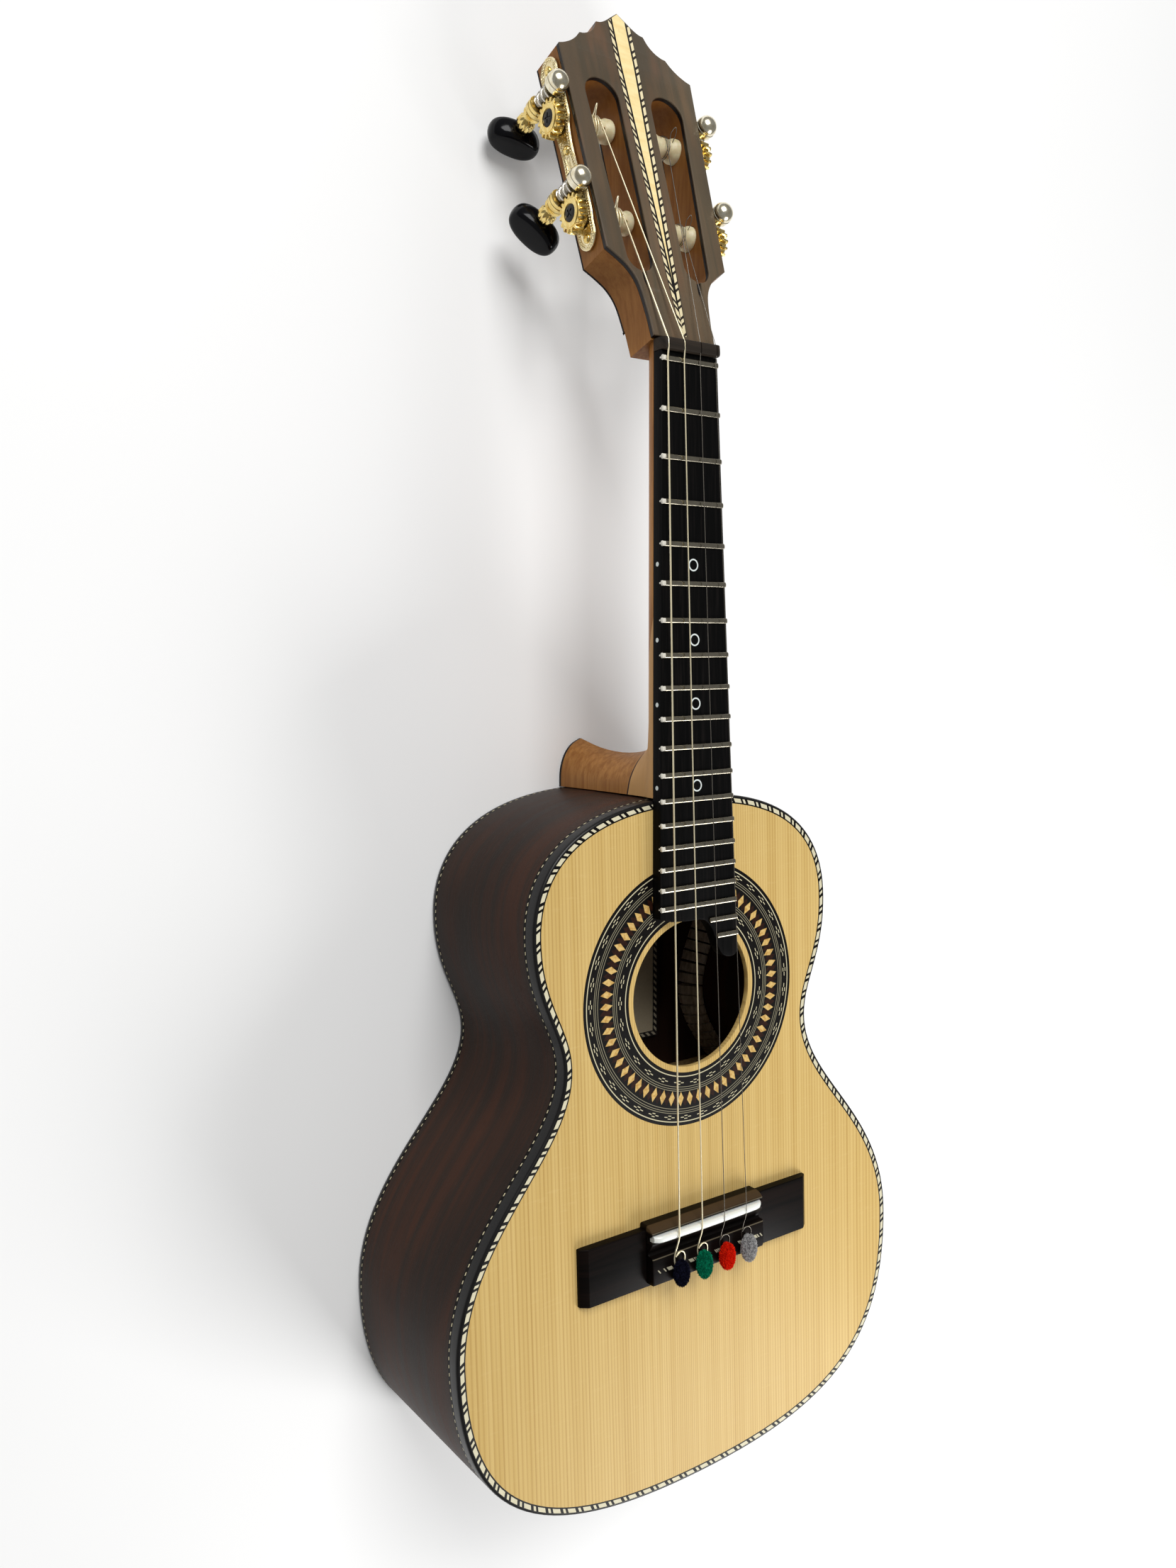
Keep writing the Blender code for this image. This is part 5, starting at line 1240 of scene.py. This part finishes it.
boss = [(0.0, -2.0), (2.3, -2.0), (2.3, 1.7), (5.2, 1.9), (5.4, 2.1), (5.4, 7.0), (5.2, 7.15), (3.7, 7.2),
        (3.5, 7.1), (3.45, 6.6), (0.0, 6.6)]
screw_head = [(0.0, 6.0), (3.35, 6.0), (3.35, 6.85), (3.1, 7.0), (1.5, 7.15), (0.0, 7.19)]
cross = prism([(-1.9, -0.35), (-0.35, -0.35), (-0.35, -1.9), (0.35, -1.9), (0.35, -0.35), (1.9, -0.35),
               (1.9, 0.35), (0.35, 0.35), (0.35, 1.9), (-0.35, 1.9), (-0.35, 0.35), (-1.9, 0.35)], 6.83, 8.0)
ferrule = [(0.0005, -20.6, 0.0), (2.3, -20.6, 0.0), (2.35, -21.4, 0.0), (2.5, -22.0, 0.0), (3.0, -22.5, 0.12),
           (3.45, -23.4, 0.26), (3.6, -24.6, 0.3), (3.5, -25.8, 0.26), (3.0, -26.9, 0.12), (2.4, -27.5, 0.0),
           (1.5, -27.7, 0.0), (1.5, -31.0, 0.0), (0.0005, -31.0, 0.0)]
for number, (side, row) in STRING_ROW.items():
    axle, shaft = roller_place(side, row), worm_place(side, row)
    brass = gold(f"turned_brass_{number}", colour(242, 220, 150), colour(220, 186, 104), axle)
    for name, shape, finish, smooth, slot, node in (
            ("cut_worm", worm(side), steel_finish, 40.0, "steel", "worm_shaft"),
            ("fluted_ferrule", fluted(ferrule, 96, 12), brass, 50.0, "gold", "worm_shaft"),
            ("oval_button", oval_button(number), button_finish, 70.0, "black_plastic", "tuner_button")):
        fit(make(f"{name}_{number}", shape, shaft, finish, smooth), slot, f"{node}_{number}",
            body=f"tuner_worm_{number}")
    pieces = [make(f"{name}_{number}", shape, axle, finish, 32.0) for name, shape, finish in (
        ("cut_gear", gear(side), brass), ("gear_boss", lathe(boss, 48), brass),
        ("gear_screw", lathe(screw_head, 40), screw_finish))]
    cross_place = axle @ Matrix.Rotation(number * 0.9, 4, "Z")
    carve(pieces[-1], 32.0, ("DIFFERENCE", make("cross", cross, cross_place, screw_finish)))
    for piece in pieces:
        fit(piece, "gold", f"gear_{number}", body=f"tuner_roller_{number}")

# Rollers and windings
# Cream nylon barrels, waisted for the string and pierced by an eye for its end. Each string
# takes two turns round its roller, and a spare loop of wire stands out of the eye.
nylon_finish = clouded("cream_nylon", colour(232, 216, 178), colour(208, 188, 146), (0.25, 4.0, 0.6),
                       (0.36, 0.16), (0.3, 0.7), Subsurface_Weight=0.15)
outer_end = [(0.0, -2.4), (2.6, -2.4), (2.6, -0.3), (4.8, -0.3), (5.0, -0.5), (5.0, -9.6)]
waist = flow([(4.9, -10.0), (4.45, -10.9), (4.1, -12.0), (4.1, -17.6), (4.35, -18.8), (4.7, -19.6)], 3)
eye = lathe([(0.0, -9.0), (0.8, -9.0), (0.8, 9.0), (0.0, 9.0)], 20,
            moved(0.0, 0.0, -17.2) @ turned(60.0, "Z") @ turned(90.0, "Y"))
for number, (side, row) in STRING_ROW.items():
    axle, end = roller_place(side, row), -roller_reach(row)
    barrel = outer_end + waist + flow([(4.7, end + 1.5), (4.5, end + 0.9), (3.9, end + 0.2), (3.4, end)], 3)
    barrel += [(2.2, end), (2.2, end - PIN_LONG), (0.0, end - PIN_LONG)]
    roller = make(f"nylon_roller_{number}", lathe(barrel, 48), axle, nylon_finish, 30.0)
    carve(roller, 30.0, ("DIFFERENCE", make("roller_eye", eye, axle, nylon_finish)))
    fit(roller, "nylon", f"roller_{number}", body=f"tuner_roller_{number}")

# Strings
# Four steel strings, the two lower ones wrapped in bronze wire. Each is looped on the tie block
# in its tuft, bends over saddle and nut and drops into the head to its roller.
bronze_wire, plain_wire = (clouded(name, light, dark, (0.6, 3.0), (0.34, 0.14), Metallic=metal)
                           for name, light, dark, metal in (
    ("bronze_wire", colour(250, 242, 214), colour(232, 216, 172), 0.7),
    ("plain_wire", colour(150, 144, 134), colour(110, 104, 96), 1.0)))
TIE_TOP = 8.35
for number, place in STRING_X.items():
    wire = plain_wire if number < 3 else bronze_wire
    thick, (side, row) = STRING_THICK[number], STRING_ROW[number]
    radius = thick / 2
    x0, x1, lie = AT_BRIDGE * place, AT_NUT * place, TIE_TOP + radius
    ring = flow([(x0 - 0.9, -11.9, lie + 2.2 * radius), (x0 + 0.6, -10.5, lie + 2.4 * radius),
                 (x0 + 2.2, -10.4, lie + 0.5), (x0 + 3.7, -11.6, lie + 0.3), (x0 + 4.2, -13.9, lie),
                 (x0 + 3.3, -16.2, lie), (x0 + 1.3, -16.8, lie), (x0 - 0.5, -15.5, lie),
                 (x0 - 1.0, -13.2, lie), (x0 - 0.6, -11.0, lie), (x0 - 0.1, -8.4, lie + 0.4),
                 (x0, -6.0, lie + 1.3), (x0, -4.2, 10.2 + radius), (x0, -3.0, 10.52 + radius),
                 (x0 + (x1 - x0) * 0.01, 1.0, 10.47 + radius)], 6)
    touch, direction, turn = string_touch(number)
    back = MAKER.inverted()
    end, aim = back @ touch, (back.to_3x3() @ direction).normalized()
    line = ring + [(x1, SCALE, 6.3), (x1, 344.0, 6.6 + radius), (x1, 346.6, 6.6 + radius),
                   tuple(end - aim * (thick + 0.3))]
    fit(make(f"tied_string_{number}", tube(line, [radius] * len(line), 12), MAKER, wire, 60.0),
        "string_wire", f"string_{number}")
    wind = [Vector((x, side * y, WAIST_Z + (thick + 0.6) * k / 48)) for k, (x, y) in enumerate(
        ((WAIST_RADIUS + radius) * math.cos(a), (WAIST_RADIUS + radius) * math.sin(a))
        for a in (turn - 2 * math.pi * k / 48 for k in range(97)))]
    axle = roller_place(side, row)
    aim = (axle.inverted().to_3x3() @ direction).normalized()
    last, onward = wind[-1], (wind[-1] - wind[-3]).normalized()
    out = Vector((last.x, last.y, 0.0)).normalized()
    spare = [last + onward * ahead + out * off + Vector((0.0, 0.0, up)) for ahead, off, up in (
        (1.2, 0.4, 0.0), (2.8, 1.6, 0.0), (3.6, 3.6, 0.6), (2.6, 3.3, 1.3), (1.0, 1.4, 1.6),
        (0.0, -1.5, 1.7))]
    line = [wind[0] - aim * thick] + wind + flow(spare, 5)
    fit(make(f"wound_turns_{number}", tube(line, [radius] * len(line), 10), axle, wire, 60.0),
        "string_wire", f"string_winding_{number}", body=f"tuner_roller_{number}")

# Tufts
# Little pompoms of cut wool tied behind the string loops, which keep the strings from buzzing
# and from scratching the top: navy, green, red and grey.
def tuft_tree():
    """Geometry nodes that set short fibres over a core, tilted and sized by chance."""
    tree, start, whole = open_tree("wool_fibres", "Tuft", Core="Geometry", Fibre="Object", Density="Float",
                                   Tilt="Float", Seed="Int", Finish="Material")
    scatter, fibre, plant, lean, grow, negative, tilt, both = (tree.nodes.new(kind) for kind in (
        "GeometryNodeDistributePointsOnFaces", "GeometryNodeObjectInfo", "GeometryNodeInstanceOnPoints",
        "FunctionNodeRandomValue", "FunctionNodeRandomValue", "ShaderNodeMath",
        "GeometryNodeRotateInstances", "GeometryNodeJoinGeometry"))
    lean.data_type = "FLOAT_VECTOR"
    negative.operation = "MULTIPLY"
    negative.inputs[1].default_value = -1.0
    grow.inputs[2].default_value, grow.inputs[3].default_value = 0.65, 1.15
    join(tree, (start, "Core", scatter, "Mesh"), (start, "Density", scatter, "Density"),
         *((start, "Seed", chancy, "Seed") for chancy in (scatter, lean, grow)),
         (start, "Tilt", negative, 0), (negative, 0, lean, 0), (start, "Tilt", lean, 1),
         (scatter, "Points", plant, "Points"), (scatter, "Rotation", plant, "Rotation"),
         (start, "Fibre", fibre, "Object"), (fibre, "Geometry", plant, "Instance"),
         (grow, 1, plant, "Scale"), (plant, 0, tilt, "Instances"), (lean, 0, tilt, "Rotation"),
         (tilt, 0, both, 0), (start, "Core", both, 0), (both, 0, whole, 0))
    return tree


WOOL = tuft_tree()
TUFT_WIDE, TUFT_LONG, TUFT_HIGH, TUFT_Y, TUFT_Z = 3.0, 5.2, 2.1, -18.3, 11.25
bend = tube([(0.0, 0.0, -0.2), (0.05, 0.0, 0.3), (0.16, 0.03, 0.6), (0.34, 0.05, 0.85)],
            [0.13, 0.12, 0.10, 0.05], 3)
chance = random.Random(7)
for number, name, light, dark in ((4, "navy_wool", colour(26, 27, 46), colour(9, 9, 20)),
                                  (3, "green_wool", colour(12, 138, 100), colour(4, 100, 72)),
                                  (2, "red_wool", colour(240, 44, 14), colour(206, 20, 6)),
                                  (1, "grey_wool", colour(196, 195, 194), colour(146, 145, 146))):
    wool = clouded("tufted_" + name, light, dark, (1.1, 3.0), spread=(0.35, 0.65), Roughness=0.95,
                   Specular_IOR_Level=0.05)
    wool.bump(wool.clouds(wool.spot(), 3.0, 2.0), 0.1, 0.6)
    rings = []
    for k in range(15):
        rise = math.pi * (k / 14 - 0.5)
        bulge = 1.0 + 0.12 * chance.uniform(-1, 1)
        share = bulge * math.cos(rise) ** 0.8 if 0 < k < 14 else 0.0
        rings.append([(TUFT_WIDE * share * x, TUFT_LONG * share * y, TUFT_HIGH * math.sin(rise))
                      for x, y in circle(1.0, 20)])
    centre = MAKER @ moved(AT_BRIDGE * STRING_X[number] + 0.6, TUFT_Y, TUFT_Z)
    core = make(f"wool_tuft_{number}", skin(rings), centre, wool, 70.0)
    hair = make("wool_fibre", bend, Matrix.Scale(0.001, 4), wool, 70.0)
    run_tree(core, WOOL, Fibre=hair, Density=2.6e7, Tilt=0.7, Seed=11 + number, Finish=wool.material)
    bpy.data.objects.remove(hair)
    fit(core, name, f"tuft_{number}")
